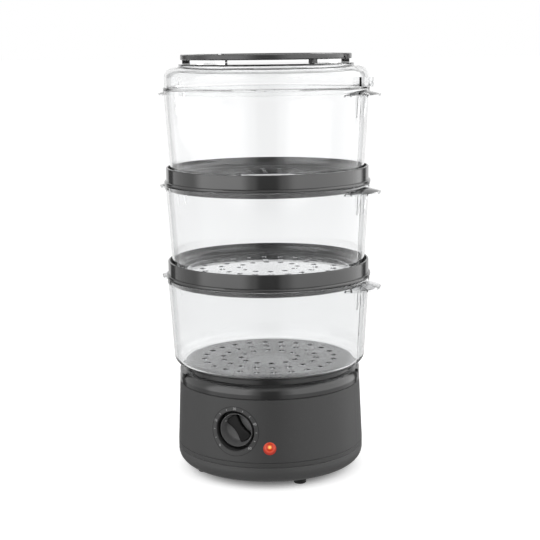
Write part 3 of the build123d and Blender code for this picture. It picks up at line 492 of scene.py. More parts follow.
@dataclass(frozen=True)
class GlowingLens(Finish):
    """Clear coloured plastic with a lamp behind it, brightest in front of the lamp's tip.

    A ring is a distance from the tip and the colour of the glow there, which can hold a painted highlight
    too, and no ring lies beyond the reach.
    """

    name: str
    color: Color
    tip: tuple[float, float, float]
    rings: tuple[tuple[float, Color], ...]
    reach: float
    strength: float = 1.0

    def build(self, sheet: NodeSheet, output: bpy.types.Node) -> None:
        """Principled shader whose glow changes colour with the distance from the lamp's tip.

        Args:
            sheet: the material's node sheet.
            output: the material's output node.
        """
        place = sheet.add("ShaderNodeTexCoord").outputs["Object"]
        away = sheet.add("ShaderNodeVectorMath", "distance from the tip", operation="DISTANCE")
        sheet.link(place, away.inputs[0])
        away.inputs[1].default_value = self.tip
        glow = sheet.add("ShaderNodeValToRGB", "glow by distance")
        sheet.link(sheet.math("DIVIDE", away.outputs["Value"], self.reach, clamp=True), glow.inputs["Fac"])
        stops = glow.color_ramp.elements
        while len(stops) < len(self.rings):
            stops.new(0.5)
        for stop, (distance, color) in zip(stops, self.rings):
            stop.position = distance / self.reach
            stop.color = color
        shader = sheet.add("ShaderNodeBsdfPrincipled", self.name, Base_Color=self.color, Roughness=0.06,
                           Specular_IOR_Level=0.2, Emission_Strength=self.strength)
        sheet.link(glow.outputs["Color"], shader.inputs["Emission Color"])
        sheet.link(shader.outputs[0], output.inputs["Surface"])


CHARCOAL = MouldedPlastic("charcoal plastic", gray(0.038), roughness=0.50, specular=0.40, dust=0.02)
# Painted light: the pan is the drum's charcoal painted lighter, for the light that bounces up from the floor
# under it.
PAN_CHARCOAL_PAINTED_BOUNCE = MouldedPlastic("charcoal pan plastic with painted bounce light", gray(0.052), roughness=0.50, specular=0.45, dust=0.03)
GLOSS_CHARCOAL = MouldedPlastic("charcoal tray plastic", gray(0.026), roughness=0.14, skin=Skin.SATIN)
RING_CHARCOAL = MouldedPlastic("charcoal ring plastic", gray(0.034), roughness=0.11, specular=0.6,
                               skin=Skin.SATIN)
# Painted light: the knob is the drum's charcoal painted much lighter, to make up for the shade in its sunken
# bowl.
KNOB_CHARCOAL_PAINTED_LIGHT = MouldedPlastic("charcoal knob plastic with painted light", gray(0.105), roughness=0.5)
GRIP = MouldedPlastic("black grip plastic", gray(0.004), roughness=0.50, specular=0.2)
HANDLE = MouldedPlastic("dark handle plastic", gray(0.042), roughness=0.22, skin=Skin.SATIN)
RUBBER = MouldedPlastic("black rubber", gray(0.012), roughness=0.7, specular=0.3, skin=Skin.RUBBED, dust=0.1)
TANK = MouldedPlastic("tank plastic", gray(0.09), roughness=0.34)
NYLON = MouldedPlastic("black nylon", gray(0.012), roughness=0.45)
CERAMIC = MouldedPlastic("white ceramic", (0.72, 0.70, 0.64, 1.0), roughness=0.3, skin=Skin.POLISHED,
                         dust=0.05)
STEEL = Metal("drawn steel", gray(0.55), roughness=0.28)
HEATER = Metal("heater tube steel", (0.42, 0.40, 0.36, 1.0), roughness=0.36, patches=0.6)
BRASS = Metal("turned brass", (0.62, 0.42, 0.16, 1.0), roughness=0.26, streak=1400.0)
ZINC = Metal("zinc plate", (0.62, 0.61, 0.56, 1.0), roughness=0.34, streak=400.0, patches=0.4)
PRINT = MouldedPlastic("pale print", gray(0.36), roughness=0.5, specular=0.3, skin=Skin.POLISHED)
# Painted shade: a dark line that stands for the shadow of a shallow groove round the dial.
PAINTED_GROOVE_SHADE = MouldedPlastic("painted groove shade", gray(0.006), roughness=0.5, specular=0.2, skin=Skin.POLISHED)
# One clear plastic in three tints: painted shade that grows darker lower down the stack, darkest on the
# bottom bowl and lightest on the top bowl and lid.
CLEAR_1 = ClearPlastic("clear plastic, bottom bowl, darkest painted shade", (0.862, 0.867, 0.870, 1.0))
CLEAR_2 = ClearPlastic("clear plastic, middle bowl, painted shade", (0.906, 0.910, 0.913, 1.0))
CLEAR_3 = ClearPlastic("clear plastic, top bowl and lid, least painted shade", (0.944, 0.947, 0.949, 1.0))
LAMP_GLASS = ClearPlastic("lamp glass", (0.95, 0.6, 0.35, 1.0), ior=1.5)


# ---- Meshes


def add_object(name: str, data: bpy.types.ID) -> bpy.types.Object:
    """Put a mesh, text, light or camera in the scene.

    Args:
        name: the object's name.
        data: what it holds.

    Returns:
        The new object.
    """
    made = bpy.data.objects.new(name, data)
    bpy.context.scene.collection.objects.link(made)
    return made


def add_piece(mesh: bpy.types.Mesh, finish: Finish, body: str, sharp: float = 35.0) -> bpy.types.Object:
    """Finish a mesh and make it a piece that rides on a body.

    Args:
        mesh: the piece's mesh, in its place.
        finish: its finish.
        body: the body it rides on.
        sharp: edges that turn by more than this many degrees stay sharp.

    Returns:
        The new object.
    """
    mesh.shade_smooth()
    mesh.set_sharp_from_angle(angle=radians(sharp))
    mesh.materials.clear()
    mesh.materials.append(finish.material())
    piece = add_object(mesh.name, mesh)
    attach(piece, body)
    return piece


def grid_faces(rows: int, columns: int, closed_rows: bool = False,
               closed_columns: bool = False) -> np.ndarray:
    """Number the quads of a grid of points; a closed way joins its last line to its first.

    Args:
        rows: points along the first way.
        columns: points along the second way.
        closed_rows: whether the first way is closed.
        closed_columns: whether the second way is closed.

    Returns:
        (n, 4) point numbers.
    """
    row = np.arange(rows if closed_rows else rows - 1)
    column = np.arange(columns if closed_columns else columns - 1)
    i, j = np.meshgrid(row, column, indexing="ij")
    after_i, after_j = (i + 1) % rows, (j + 1) % columns
    quads = np.stack([i * columns + j, i * columns + after_j, after_i * columns + after_j,
                      after_i * columns + j], axis=-1)
    return quads.reshape(-1, 4)


def strip_faces(rows: int, closed: bool) -> list[list[int]]:
    """Faces of a strip whose section is a box of four points.

    Args:
        rows: sections along the strip.
        closed: whether the strip runs round into itself; otherwise its two ends are shut.

    Returns:
        Point numbers of each face.
    """
    faces = grid_faces(rows, 4, closed, True).tolist()
    if not closed:
        last = 4 * (rows - 1)
        faces += [[3, 2, 1, 0], [last, last + 1, last + 2, last + 3]]
    return faces


def drum_faces(rows: int, steps: int) -> list[list[int]]:
    """Faces of rings of points round an axis, shut by a fan at each end.

    The middle of the first ring and then that of the last come after the rings' own points.

    Args:
        rows: rings along the axis.
        steps: points round each ring.

    Returns:
        Point numbers of each face.
    """
    ring = np.arange(steps)
    after = (ring + 1) % steps
    middle, last = rows * steps, (rows - 1) * steps
    near = np.stack([np.full(steps, middle), after, ring], axis=-1)
    far = np.stack([np.full(steps, middle + 1), ring + last, after + last], axis=-1)
    return grid_faces(rows, steps, False, True).tolist() + near.tolist() + far.tolist()


def close_up(mesh: bpy.types.Mesh, reach: float = 0.005 * MM) -> None:
    """Close a mesh's seams by joining the points that meet there, and turn its faces outwards.

    Args:
        mesh: the mesh.
        reach: how near to each other two points are joined.
    """
    edit = bmesh.new()
    edit.from_mesh(mesh)
    bmesh.ops.remove_doubles(edit, verts=edit.verts, dist=reach)
    bmesh.ops.recalc_face_normals(edit, faces=edit.faces)
    edit.to_mesh(mesh)
    edit.free()


def closed_mesh(name: str, points: np.ndarray, faces: list[list[int]]) -> bpy.types.Mesh:
    """Make a closed mesh whose faces look outwards.

    Args:
        name: the mesh's name.
        points: (n, 3) places.
        faces: point numbers of each face.

    Returns:
        The mesh.
    """
    mesh = bpy.data.meshes.new(name)
    mesh.from_pydata(points.tolist(), [], faces)
    close_up(mesh)
    return mesh


def dress(frame: dict[str, Any], finish: Finish, *nodes: str) -> None:
    """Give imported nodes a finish.

    Args:
        finish: the finish.
        nodes: the nodes' names.
    """
    for name in nodes:
        mesh = frame["nodes"][name].data
        mesh.materials.clear()
        mesh.materials.append(finish.material())
        log.info("%s: %s", name, finish.name)


# ---- Studio


@dataclass
class Viewpoint:
    """The camera: where it stands round the object and how it is turned, with angles in radians."""

    distance: float = 1.2436
    height: float = 0.4150
    azimuth: float = radians(22.0)
    pitch: float = 0.1748
    roll: float = 0.0119
    yaw: float = 0.0012
    lens: float = 85.695
    sensor: float = 36.0

    def build(self) -> bpy.types.Object:
        """Make the camera and make it the scene's.

        Returns:
            The camera object.
        """
        heading = self.azimuth - self.yaw
        ahead = Vector((-sin(heading), cos(heading), 0.0))
        right = Vector((cos(heading), sin(heading), 0.0))
        forward = ahead * cos(self.pitch) - Vector((0.0, 0.0, sin(self.pitch)))
        above = right.cross(forward)
        side = right * cos(self.roll) - above * sin(self.roll)
        above = above * cos(self.roll) + right * sin(self.roll)
        place = Vector((sin(self.azimuth), -cos(self.azimuth), 0.0)) * self.distance
        place.z = self.height
        turn = Matrix((side, above, -forward)).transposed().to_4x4()
        camera = add_object("camera", bpy.data.cameras.new("camera"))
        camera.data.lens = self.lens
        camera.data.sensor_width = self.sensor
        camera.matrix_world = Matrix.Translation(place) @ turn
        bpy.context.scene.camera = camera
        return camera


@dataclass(frozen=True)
class Softbox:
    """A rectangular studio light that faces a point on the object, from a direction in degrees."""

    name: str
    azimuth: float
    elevation: float
    width: float
    height: float
    power: float
    distance: float = 1.6
    aim: tuple[float, float, float] = (0.0, 0.0, 0.2)

    def build(self) -> bpy.types.Object:
        """Make the light, which shades but isn't mirrored; the surroundings hold what is mirrored.

        Returns:
            The light object.
        """
        light = bpy.data.lights.new(self.name, "AREA")
        light.shape = "RECTANGLE"
        light.size = self.width
        light.size_y = self.height
        light.energy = self.power
        lamp = add_object(self.name, light)
        turn, lift = radians(self.azimuth), radians(self.elevation)
        out = Vector((sin(turn) * cos(lift), -cos(turn) * cos(lift), sin(lift)))
        facing = out.to_track_quat("Z", "Y").to_matrix().to_4x4()
        lamp.matrix_world = Matrix.Translation(Vector(self.aim) + out * self.distance) @ facing
        lamp.visible_glossy = False
        return lamp


@dataclass
class MirroredStudio:
    """What shiny faces see: white walls, a darker table, two tall softboxes and dark gaps.

    Directions are in degrees: round from the front towards +X, and up from level. A softbox is where
    it starts and ends and its power, and the gap depth is how much of the light a gap takes away.
    """

    softboxes: tuple[tuple[float, float, float], ...] = ((-62.0, -2.0, 2.0), (47.0, 154.0, 1.5))
    softbox_heights: tuple[float, float] = (-13.0, 50.0)
    dark_gaps: tuple[tuple[float, float], ...] = ((-128.0, -111.0), (158.0, 170.0))
    photographer: tuple[float, float] = (10.0, 35.0)
    photographer_heights: tuple[float, float] = (-60.0, 35.0)
    table_edge: tuple[float, float] = (-18.0, -5.0)
    table: float = 0.55
    gap_depth: float = 0.9
    soft: float = 4.0

    def build(self, sheet: NodeSheet) -> Any:
        """Work out the brightness in each direction.

        The brightness is the table's or the walls', times the gaps' darkness, plus the softboxes'.

        Args:
            sheet: the world's node sheet.

        Returns:
            The output socket.
        """
        ray = sheet.add("ShaderNodeTexCoord").outputs["Generated"]
        parts = sheet.add("ShaderNodeSeparateXYZ")
        sheet.link(ray, parts.inputs[0])
        ahead = sheet.math("MULTIPLY", parts.outputs["Y"], -1.0)
        turn = sheet.math("ARCTAN2", parts.outputs["X"], ahead)
        turn = sheet.math("MULTIPLY", turn, degrees(1.0), label="round")
        lift = sheet.math("ARCSINE", parts.outputs["Z"])
        lift = sheet.math("MULTIPLY", lift, degrees(1.0), label="up")
        level = sheet.ramp(lift, *self.table_edge, self.table, 1.0, label="table or walls")
        dark = sheet.math("MULTIPLY", sheet.span(turn, *self.photographer, self.soft),
                          sheet.span(lift, *self.photographer_heights, 2.0 * self.soft), label="photographer")
        for low, high in self.dark_gaps:
            dark = sheet.math("MAXIMUM", dark, sheet.span(turn, low, high, self.soft / 2.0, label="gap"))
        kept = sheet.math("SUBTRACT", 1.0, sheet.math("MULTIPLY", dark, self.gap_depth), label="kept")
        level = sheet.math("MULTIPLY", level, kept)
        tall = sheet.span(lift, *self.softbox_heights, 2.0 * self.soft, label="softbox height")
        for low, high, power in self.softboxes:
            lit = sheet.math("MULTIPLY", sheet.span(turn, low, high, 2.0 * self.soft), tall)
            level = sheet.math("ADD", level, sheet.math("MULTIPLY", lit, power), label="softbox")
        return level


@dataclass
class Studio:
    """Pale floor, white surroundings and soft lights.

    The floor's glow is kept low next to the base, which paints a contact shadow, rises over the painted
    shadow ring and fades over the near ring; a ring is where the change starts and ends, from the middle out.
    The fill is the surroundings' light, as a share of how white they look.
    """

    floor_size: float = 60.0
    floor_color: float = 0.80
    fill: float = 0.85
    # The glow next to the base, kept low to paint a contact shadow.
    contact_glow: float = 0.13
    near_glow: float = 0.52
    far_glow: float = 0.36
    # Where the painted contact shadow fades out.
    contact_ring: tuple[float, float] = (64.0 * MM, 87.0 * MM)
    near_ring: tuple[float, float] = (180.0 * MM, 600.0 * MM)
    lights: tuple[Softbox, ...] = (
        Softbox("key", azimuth=-35.0, elevation=45.0, width=0.9, height=0.9, power=3.0),
        Softbox("fill", azimuth=75.0, elevation=35.0, width=0.9, height=0.9, power=2.0),
        Softbox("back", azimuth=180.0, elevation=55.0, width=1.2, height=0.8, power=2.5),
    )
    viewpoint: Viewpoint = field(default_factory=Viewpoint)
    mirrored: MirroredStudio = field(default_factory=MirroredStudio)

    def seen(self, sheet: NodeSheet, *kinds: str) -> Any:
        """A mask that is 1 for the named kinds of ray.

        Args:
            sheet: the node sheet.
            kinds: names of Light Path outputs.

        Returns:
            The output socket.
        """
        path = sheet.add("ShaderNodeLightPath")
        mask = path.outputs[kinds[0]]
        for kind in kinds[1:]:
            mask = sheet.math("MAXIMUM", mask, path.outputs[kind])
        return mask

    def floor(self) -> bpy.types.Object:
        """A pale floor that glows a little, so that it looks white and still takes the shadow; its glow is
        lowered next to the base, which paints a contact shadow.

        Returns:
            The floor object.
        """
        half = self.floor_size / 2.0
        corners = [(-half, -half, 0.0), (half, -half, 0.0), (half, half, 0.0), (-half, half, 0.0)]
        mesh = bpy.data.meshes.new("floor")
        mesh.from_pydata(corners, [], [(0, 1, 2, 3)])
        made = bpy.data.materials.new("pale floor")
        made.use_nodes = True
        sheet = NodeSheet(made.node_tree)
        seen = self.seen(sheet, "Is Camera Ray", "Is Transmission Ray")
        place = sheet.add("ShaderNodeTexCoord").outputs["Object"]
        away = sheet.add("ShaderNodeVectorMath", "distance from the middle", operation="LENGTH")
        sheet.link(place, away.inputs[0])
        away = away.outputs["Value"]
        # Painted contact shadow: the glow rises from its low value next to the base to the near glow.
        near = sheet.ramp(away, *self.contact_ring, self.contact_glow, self.near_glow, label="near")
        fade = sheet.ramp(away, *self.near_ring, 0.0, self.near_glow - self.far_glow, label="far")
        glow = sheet.math("SUBTRACT", near, fade, label="glow")
        shader = sheet.add("ShaderNodeBsdfPrincipled", "floor", Base_Color=gray(self.floor_color),
                           Roughness=0.9, Specular_IOR_Level=0.0, Emission_Color=gray(1.0))
        sheet.link(sheet.math("MULTIPLY", seen, glow, label="floor glow"), shader.inputs["Emission Strength"])
        sheet.link(shader.outputs[0], sheet.add("ShaderNodeOutputMaterial").inputs["Surface"])
        mesh.materials.append(made)
        floor = add_object("floor", mesh)
        floor.visible_glossy = False
        return floor

    def surroundings(self) -> None:
        """A world that is white as seen, a little dimmer as light, and a studio as mirrored."""
        world = bpy.data.worlds.new("studio")
        world.use_nodes = True
        bpy.context.scene.world = world
        sheet = NodeSheet(world.node_tree)
        white = self.seen(sheet, "Is Camera Ray", "Is Transmission Ray")
        plain = sheet.math("ADD", sheet.math("MULTIPLY", white, 1.0 - self.fill), self.fill, label="plain")
        mirror = self.seen(sheet, "Is Glossy Ray")
        pick = sheet.add("ShaderNodeMix", "plain or mirrored", data_type="FLOAT")
        sheet.link(mirror, pick.inputs["Factor"])
        sheet.link(plain, pick.inputs["A"])
        sheet.link(self.mirrored.build(sheet), pick.inputs["B"])
        background = sheet.add("ShaderNodeBackground", Color=gray(1.0))
        sheet.link(pick.outputs["Result"], background.inputs["Strength"])
        sheet.link(background.outputs[0], sheet.add("ShaderNodeOutputWorld").inputs["Surface"])

    def build(self) -> None:
        """Make the camera, floor, surroundings and lights."""
        self.viewpoint.build()
        self.floor()
        self.surroundings()
        for light in self.lights:
            light.build()
        bpy.context.scene.view_settings.view_transform = "Standard"


# ---- The steamer


@dataclass
class DrumFront:
    """The tapered front of the drum, on which the dial is printed."""

    base_radius: float = 91.6 * MM
    top_radius: float = 89.0 * MM
    foot: float = 27.6 * MM
    top: float = 88.0 * MM

    @property
    def slope(self) -> float:
        """How much the radius closes in per length of height."""
        return (self.base_radius - self.top_radius) / (self.top - self.foot)

    def radius(self, up: np.ndarray | float) -> np.ndarray | float:
        """Radius at a height: the base radius less the slope times the height above the foot."""
        return self.base_radius - self.slope * (up - self.foot)

    def place(self, across: np.ndarray, up: np.ndarray, lift: np.ndarray | float) -> np.ndarray:
        """Points on the drum seen square from the front.

        y is minus the root of the radius squared less x squared.

        Args:
            across: x of each point.
            up: z of each point.
            lift: distance out of the drum.

        Returns:
            (..., 3) places.
        """
        return np.stack([across, -np.sqrt((self.radius(up) + lift) ** 2 - across**2), up], axis=-1)


@dataclass
class KnobBowl:
    """The bowl in the front of the knob, round the timer's axis."""

    height: float = 57.0 * MM
    mouth: float = 15.6 * MM
    floor: float = 12.4 * MM
    depth: float = 10.2 * MM

    def wall(self, depth: np.ndarray) -> np.ndarray:
        """Radius at a depth: the mouth's, closing in evenly to the floor's."""
        return self.mouth - (self.mouth - self.floor) / self.depth * depth


@dataclass
class TimerDial:
    """Marks and numbers printed round the well of the knob, a thin circle of painted groove shade round them,
    and the knob's pointer.

    Its fields hold angles in degrees, clockwise from the top, and a stroke is cut across at a few
    stations, so that it follows the drum.
    """

    drum: DrumFront = field(default_factory=DrumFront)
    bowl: KnobBowl = field(default_factory=KnobBowl)
    first_mark: float = -135.0
    last_mark: float = 135.0
    marks: int = 13
    step_minutes: int = 5
    named_every: int = 3
    inner: float = 20.5 * MM
    outer: float = 22.0 * MM
    stroke: float = 0.55 * MM
    stations: int = 4
    number_size: float = 3.3 * MM
    number_weight: float = 0.03 * MM
    number_radius: float = 21.5 * MM
    circle_radius: float = 23.5 * MM
    circle_width: float = 0.36 * MM
    circle_steps: int = 144
    ink: float = 0.05 * MM
    pointer_angle: float = -63.0
    pointer_depths: tuple[float, float] = (3.6 * MM, 7.0 * MM)
    pointer_width: float = 1.3 * MM

    def strip(self, name: str, across: np.ndarray, up: np.ndarray, finish: Finish,
              round_way: bool) -> bpy.types.Object:
        """A thin strip, closed all round, from a run of places on the drum: print for a mark, painted groove
        shade for the circle.

        Its section is a flat box: the inner and the outer edge, above and below the drum's skin.

        Args:
            name: the piece's name.
            across: (rows, 2) x of the strip's two edges.
            up: (rows, 2) z of the strip's two edges.
            finish: its finish.
            round_way: whether the strip closes on itself; otherwise its ends are shut.

        Returns:
            The piece.
        """
        edges = [0, 1, 1, 0]
        lift = np.array([1.0, 1.0, -1.0, -1.0]) * self.ink
        points = self.drum.place(across[:, edges], up[:, edges], lift).reshape(-1, 3)
        return add_piece(closed_mesh(name, points, strip_faces(len(across), round_way)), finish, "base")

    def mark(self, number: int, angle: float) -> bpy.types.Object:
        """A short stroke that points to the middle of the dial.

        A point is at its reach along the stroke's direction plus its offset square to it.

        Args:
            number: the mark's number.
            angle: its angle from the top, clockwise, in radians.

        Returns:
            The piece.
        """
        reach, off = np.meshgrid(np.linspace(self.inner, self.outer, self.stations),
                                 np.array([-0.5, 0.5]) * self.stroke, indexing="ij")
        across = reach * sin(angle) + off * cos(angle)
        up = self.bowl.height + reach * cos(angle) - off * sin(angle)
        return self.strip(f"dial_mark_{number:02d}", across, up, PRINT, False)

    def circle(self) -> bpy.types.Object:
        """The thin dark circle round the marks, painted shade that stands for the shadow line of a shallow
        groove.

        It is a ring whose edges lie half its width to each side of its radius.

        Returns:
            The piece.
        """
        turn = np.linspace(0.0, 2.0 * pi, self.circle_steps, endpoint=False)[:, None]
        reach = self.circle_radius + np.array([[-0.5, 0.5]]) * self.circle_width
        return self.strip("dial_circle", reach * np.sin(turn), self.bowl.height + reach * np.cos(turn),
                          PAINTED_GROOVE_SHADE, True)

    def figure(self, minutes: int, angle: float) -> bpy.types.Object:
        """An upright number wrapped on the drum.

        Each point of the flat figures keeps its place across and up, and its height above them
        becomes its distance out of the drum.

        Args:
            minutes: the number.
            angle: its angle from the top, clockwise, in radians.

        Returns:
            The piece.
        """
        text = bpy.data.curves.new(f"dial_number_{minutes:02d}", "FONT")
        text.body = str(minutes)
        text.size = self.number_size
        text.align_x = "CENTER"
        text.align_y = "CENTER"
        text.extrude = self.ink
        text.offset = self.number_weight
        holder = add_object(text.name, text)
        shaped = holder.evaluated_get(bpy.context.evaluated_depsgraph_get())
        mesh = bpy.data.meshes.new_from_object(shaped)
        bpy.data.objects.remove(holder)
        close_up(mesh)
        flat = np.empty(3 * len(mesh.vertices))
        mesh.vertices.foreach_get("co", flat)
        x, y, z = flat.reshape(-1, 3).T
        across = x + self.number_radius * sin(angle)
        up = y + self.bowl.height + self.number_radius * cos(angle)
        mesh.vertices.foreach_set("co", self.drum.place(across, up, z).ravel())
        mesh.name = text.name
        return add_piece(mesh, PRINT, "base")

    def pointer(self) -> bpy.types.Object:
        """The pale stroke on the sloping wall of the knob's bowl.

        Its box lies the ink's thickness above and below that wall, so that a point's reach is the root
        of the wall's radius there squared less its offset across the stroke squared.

        Returns:
            The piece, which turns with the knob.
        """
        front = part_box("timer_knob")[0].y
        angle = radians(self.pointer_angle)
        depth, off, lift = np.meshgrid(np.linspace(*self.pointer_depths, self.stations),
                                       np.array([-0.5, 0.5]) * self.pointer_width,
                                       np.array([1.0, -1.0]) * self.ink, indexing="ij")
        reach = np.sqrt((self.bowl.wall(depth) - lift) ** 2 - off**2)
        grid = np.stack([reach * sin(angle) + off * cos(angle), front + depth,
                         self.bowl.height + reach * cos(angle) - off * sin(angle)], axis=-1)
        points = grid[:, [0, 1, 1, 0], [0, 0, 1, 1]].reshape(-1, 3)
        mesh = closed_mesh("knob_pointer", points, strip_faces(self.stations, False))
        return add_piece(mesh, PRINT, "knob")

    def build(self, frame: dict[str, Any]) -> None:
        """Dress the knob and the timer, print the dial's marks and numbers, and add its painted shade circle
        and the knob's pointer.
        """
        dress(frame, KNOB_CHARCOAL_PAINTED_LIGHT, "timer_knob")
        dress(frame, STEEL, "timer_shaft", "timer_screws", "timer_bell")
        dress(frame, ZINC, "timer_body")
        angles = np.radians(np.linspace(self.first_mark, self.last_mark, self.marks))
        for number, angle in enumerate(angles.tolist()):
            if number % self.named_every == 0:
                made = self.figure(number * self.step_minutes, angle)
            else:
                made = self.mark(number, angle)
            log.info("%s: printed", made.name)
        # The circle is painted groove shade, not print.
        log.info("%s: printed", self.circle().name)
        log.info("%s: printed", self.pointer().name)


@dataclass
class KnobGrip:
    """The hourglass bar that stands in the bowl of the knob."""

    bowl: KnobBowl = field(default_factory=KnobBowl)
    lean: float = radians(38.0)
    waist: float = 9.0 * MM
    end: float = 12.8 * MM
    scallop: float = 24.0 * MM
    sink: float = 6.0 * MM
    clearance: float = 0.25 * MM
    draft: float = radians(3.0)
    edge: float = 0.7 * MM
    edge_steps: int = 6
    steps: int = 192

    def reach(self, turn: np.ndarray, depth: np.ndarray, inset: np.ndarray) -> np.ndarray:
        """How far the bar's outline lies from the knob's axis.

        In each direction the outline is the nearest of three: the bowl's wall, the flat side at the
        ends' half width, and the hollow, an arc whose centre is its radius beyond the waist. With c
        the centre's distance, s the arc's radius and a the sine of the direction, the hollow lies at
        c a less the root of c squared a squared less c squared plus s squared.

        Args:
            turn: direction from the bar's long axis.
            depth: depth behind the knob's front.
            inset: how far the outline is drawn in.

        Returns:
            The distances.
        """
        narrow = (self.bowl.depth - depth) * tan(self.draft) + inset
        across = np.maximum(np.abs(np.sin(turn)), NEARLY_ZERO)
        wall = self.bowl.wall(depth) - self.clearance - inset
        flat = (self.end / 2.0 - narrow) / across
        centre = self.waist / 2.0 - narrow + self.scallop
        rest = centre**2 * (across**2 - 1.0) + self.scallop**2
        hollow = np.where(rest > 0.0, centre * across - np.sqrt(np.maximum(rest, 0.0)), np.inf)
        return np.minimum(np.minimum(wall, flat), hollow)

    def build(self) -> bpy.types.Object:
        """Make the bar: its front face, a rounded edge and its sides, down to the bowl's floor.

        Over the rounded edge the depth is the sink plus the edge times one less the sine of a turn,
        and the inset the edge times one less its cosine.

        Returns:
            The piece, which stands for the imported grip.
        """
        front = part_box("timer_knob")[0].y
        round_off = np.linspace(pi / 2.0, 0.0, self.edge_steps)
        floor = self.bowl.depth - self.clearance
        depth = np.append(self.sink + self.edge * (1.0 - np.sin(round_off)), floor)
        inset = np.append(self.edge * (1.0 - np.cos(round_off)), 0.0)
        turn = np.linspace(0.0, 2.0 * pi, self.steps, endpoint=False)
        reach = self.reach(turn[None, :], depth[:, None], inset[:, None])
        angle = turn - self.lean
        rim = np.stack([reach * np.sin(angle), np.broadcast_to(front + depth[:, None], reach.shape),
                        self.bowl.height + reach * np.cos(angle)], axis=-1)
        middles = np.array([[0.0, front + deep, self.bowl.height] for deep in (self.sink, floor)])
        points = np.concatenate([rim.reshape(-1, 3), middles])
        mesh = closed_mesh("grip_bar", points, drum_faces(len(depth), self.steps))
        piece = add_piece(mesh, GRIP, "knob")
        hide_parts("knob_grip")
        return piece


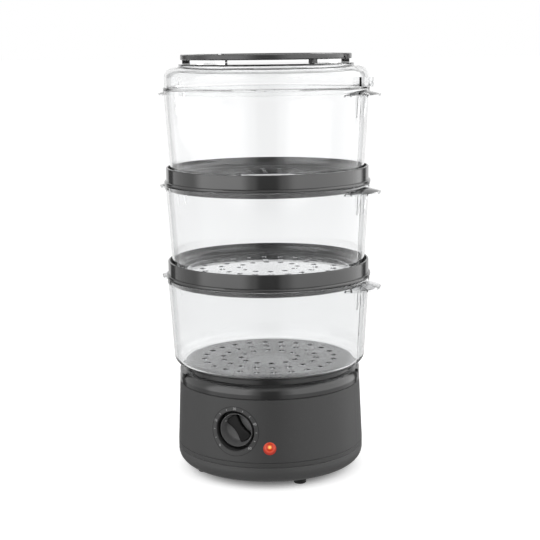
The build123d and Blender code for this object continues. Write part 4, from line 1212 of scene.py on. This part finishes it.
@dataclass
class IndicatorLamp:
    """The red lens beside the dial, with the neon lamp behind it.

    The profile is the radius and the height out of the skin, in millimetres, of points from the
    middle of its front round to the middle of its hollow back.
    """

    drum: DrumFront = field(default_factory=DrumFront)
    angle: float = radians(-68.5)
    height: float = 42.0 * MM
    profile: tuple[tuple[float, float], ...] = (
        (0.0, 2.25), (1.2, 2.18), (2.3, 1.96), (3.2, 1.62), (4.0, 1.16), (4.5, 0.78), (4.75, 0.62),
        (5.0, 0.66), (5.3, 0.72), (5.65, 0.68), (5.95, 0.46), (6.1, 0.18), (6.1, 0.02), (5.7, 0.0),
        (5.5, -0.2), (5.5, -8.9), (4.3, -8.9), (4.3, -1.2), (2.5, -0.6), (0.0, -0.4),
    )
    steps: int = 96
    color: Color = (0.06, 0.003, 0.002, 1.0)
    tip_out: float = 6.1 / 3.0 * MM
    tip_rise: float = 1.9 * MM
    reach: float = 7.0 * MM
    rings: tuple[tuple[float, Color], ...] = (
        (0.0 * MM, (1.0, 0.72, 0.24, 1.0)),
        (1.0 * MM, (1.0, 0.55, 0.14, 1.0)),
        (1.9 * MM, (0.68, 0.08, 0.016, 1.0)),
        (3.0 * MM, (0.40, 0.024, 0.008, 1.0)),
        # The brighter ring at 4.3 mm, near the rim, is partly the lamp's glow and partly a painted pink
        # highlight.
        (4.3 * MM, (0.66, 0.085, 0.045, 1.0)),
        (6.6 * MM, (0.34, 0.035, 0.025, 1.0)),
    )

    def build(self, frame: dict[str, Any]) -> None:
        """Turn the lens about its axis, square to the drum's skin, and dress the lamp and its holder.

        A point of the profile is carried round the axis: its radius times the cosine and the sine of
        the turn lie along the skin, sideways and up, and its height lies out of the skin.
        """
        level = np.array([cos(self.angle), sin(self.angle), 0.0])
        out = level + np.array([0.0, 0.0, self.drum.slope])
        out /= np.linalg.norm(out)
        side = np.array([-sin(self.angle), cos(self.angle), 0.0])
        above = np.cross(out, side)
        centre = level * self.drum.radius(self.height) + np.array([0.0, 0.0, self.height])
        reach, rise = (np.array(self.profile) * MM).T
        turn = np.linspace(0.0, 2.0 * pi, self.steps, endpoint=False)
        ring = np.cos(turn)[:, None] * side + np.sin(turn)[:, None] * above
        inner = slice(1, -1)
        grid = centre + reach[inner, None, None] * ring + rise[inner, None, None] * out
        middles = centre + rise[[0, -1], None] * out
        points = np.concatenate([grid.reshape(-1, 3), middles])
        mesh = closed_mesh("lamp_lens", points, drum_faces(len(grid), self.steps))
        tip = centre + out * self.tip_out + above * self.tip_rise
        lens = GlowingLens("glowing red lens", self.color, tuple(tip.tolist()), self.rings, self.reach)
        piece = add_piece(mesh, lens, "base", sharp=60.0)
        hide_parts("indicator_lens")
        log.info("%s: %s", piece.name, lens.name)
        dress(frame, LAMP_GLASS, "neon_lamp")
        dress(frame, NYLON, "lamp_holder")


@dataclass
class BaseUnit:
    """The drum, its pan and feet, the tank and the heater."""

    dial: TimerDial = field(default_factory=TimerDial)
    grip: KnobGrip = field(default_factory=KnobGrip)
    lamp: IndicatorLamp = field(default_factory=IndicatorLamp)

    def build(self, frame: dict[str, Any]) -> None:
        """Dress the base and build what is on it: the dial's print and its painted shade circle, the knob's
        grip and the lens.
        """
        dress(frame, CHARCOAL, "base_housing")
        dress(frame, PAN_CHARCOAL_PAINTED_BOUNCE, "base_pan")
        dress(frame, RUBBER, "feet", "element_seals")
        dress(frame, TANK, "water_tank")
        dress(frame, HEATER, "heating_element")
        dress(frame, STEEL, "base_screws", "fuse_clip", "thermostat")
        dress(frame, BRASS, "element_nuts")
        dress(frame, NYLON, "cord_gland", "gland_nut")
        dress(frame, CERAMIC, "terminal_block", "thermal_fuse")
        self.dial.build(frame)
        log.info("%s: built", self.grip.build().name)
        self.lamp.build(frame)


@dataclass
class SteamStack:
    """What is lifted off the base: sleeve, drip tray, bowls, spacer rings, lid and its handles."""

    clear: tuple[tuple[str, ClearPlastic], ...] = (
        ("bowl_1", CLEAR_1), ("bowl_2", CLEAR_2), ("bowl_3", CLEAR_3), ("lid", CLEAR_3),
    )

    def build(self, frame: dict[str, Any]) -> None:
        """Dress each piece of the stack.
        """
        dress(frame, TANK, "steam_sleeve")
        dress(frame, GLOSS_CHARCOAL, "drip_tray")
        dress(frame, RING_CHARCOAL, "ring_2", "ring_3")
        for node, finish in self.clear:
            dress(frame, finish, node)
        dress(frame, HANDLE, "front_bail", "rear_bail")


def main() -> None:
    """Load the frame, build the studio and dress every part of the steamer."""
    logging.basicConfig(level=logging.INFO, format="%(name)s: %(message)s")
    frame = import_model()
    Studio().build()
    BaseUnit().build(frame)
    SteamStack().build(frame)


if __name__ == "__main__":
    main()
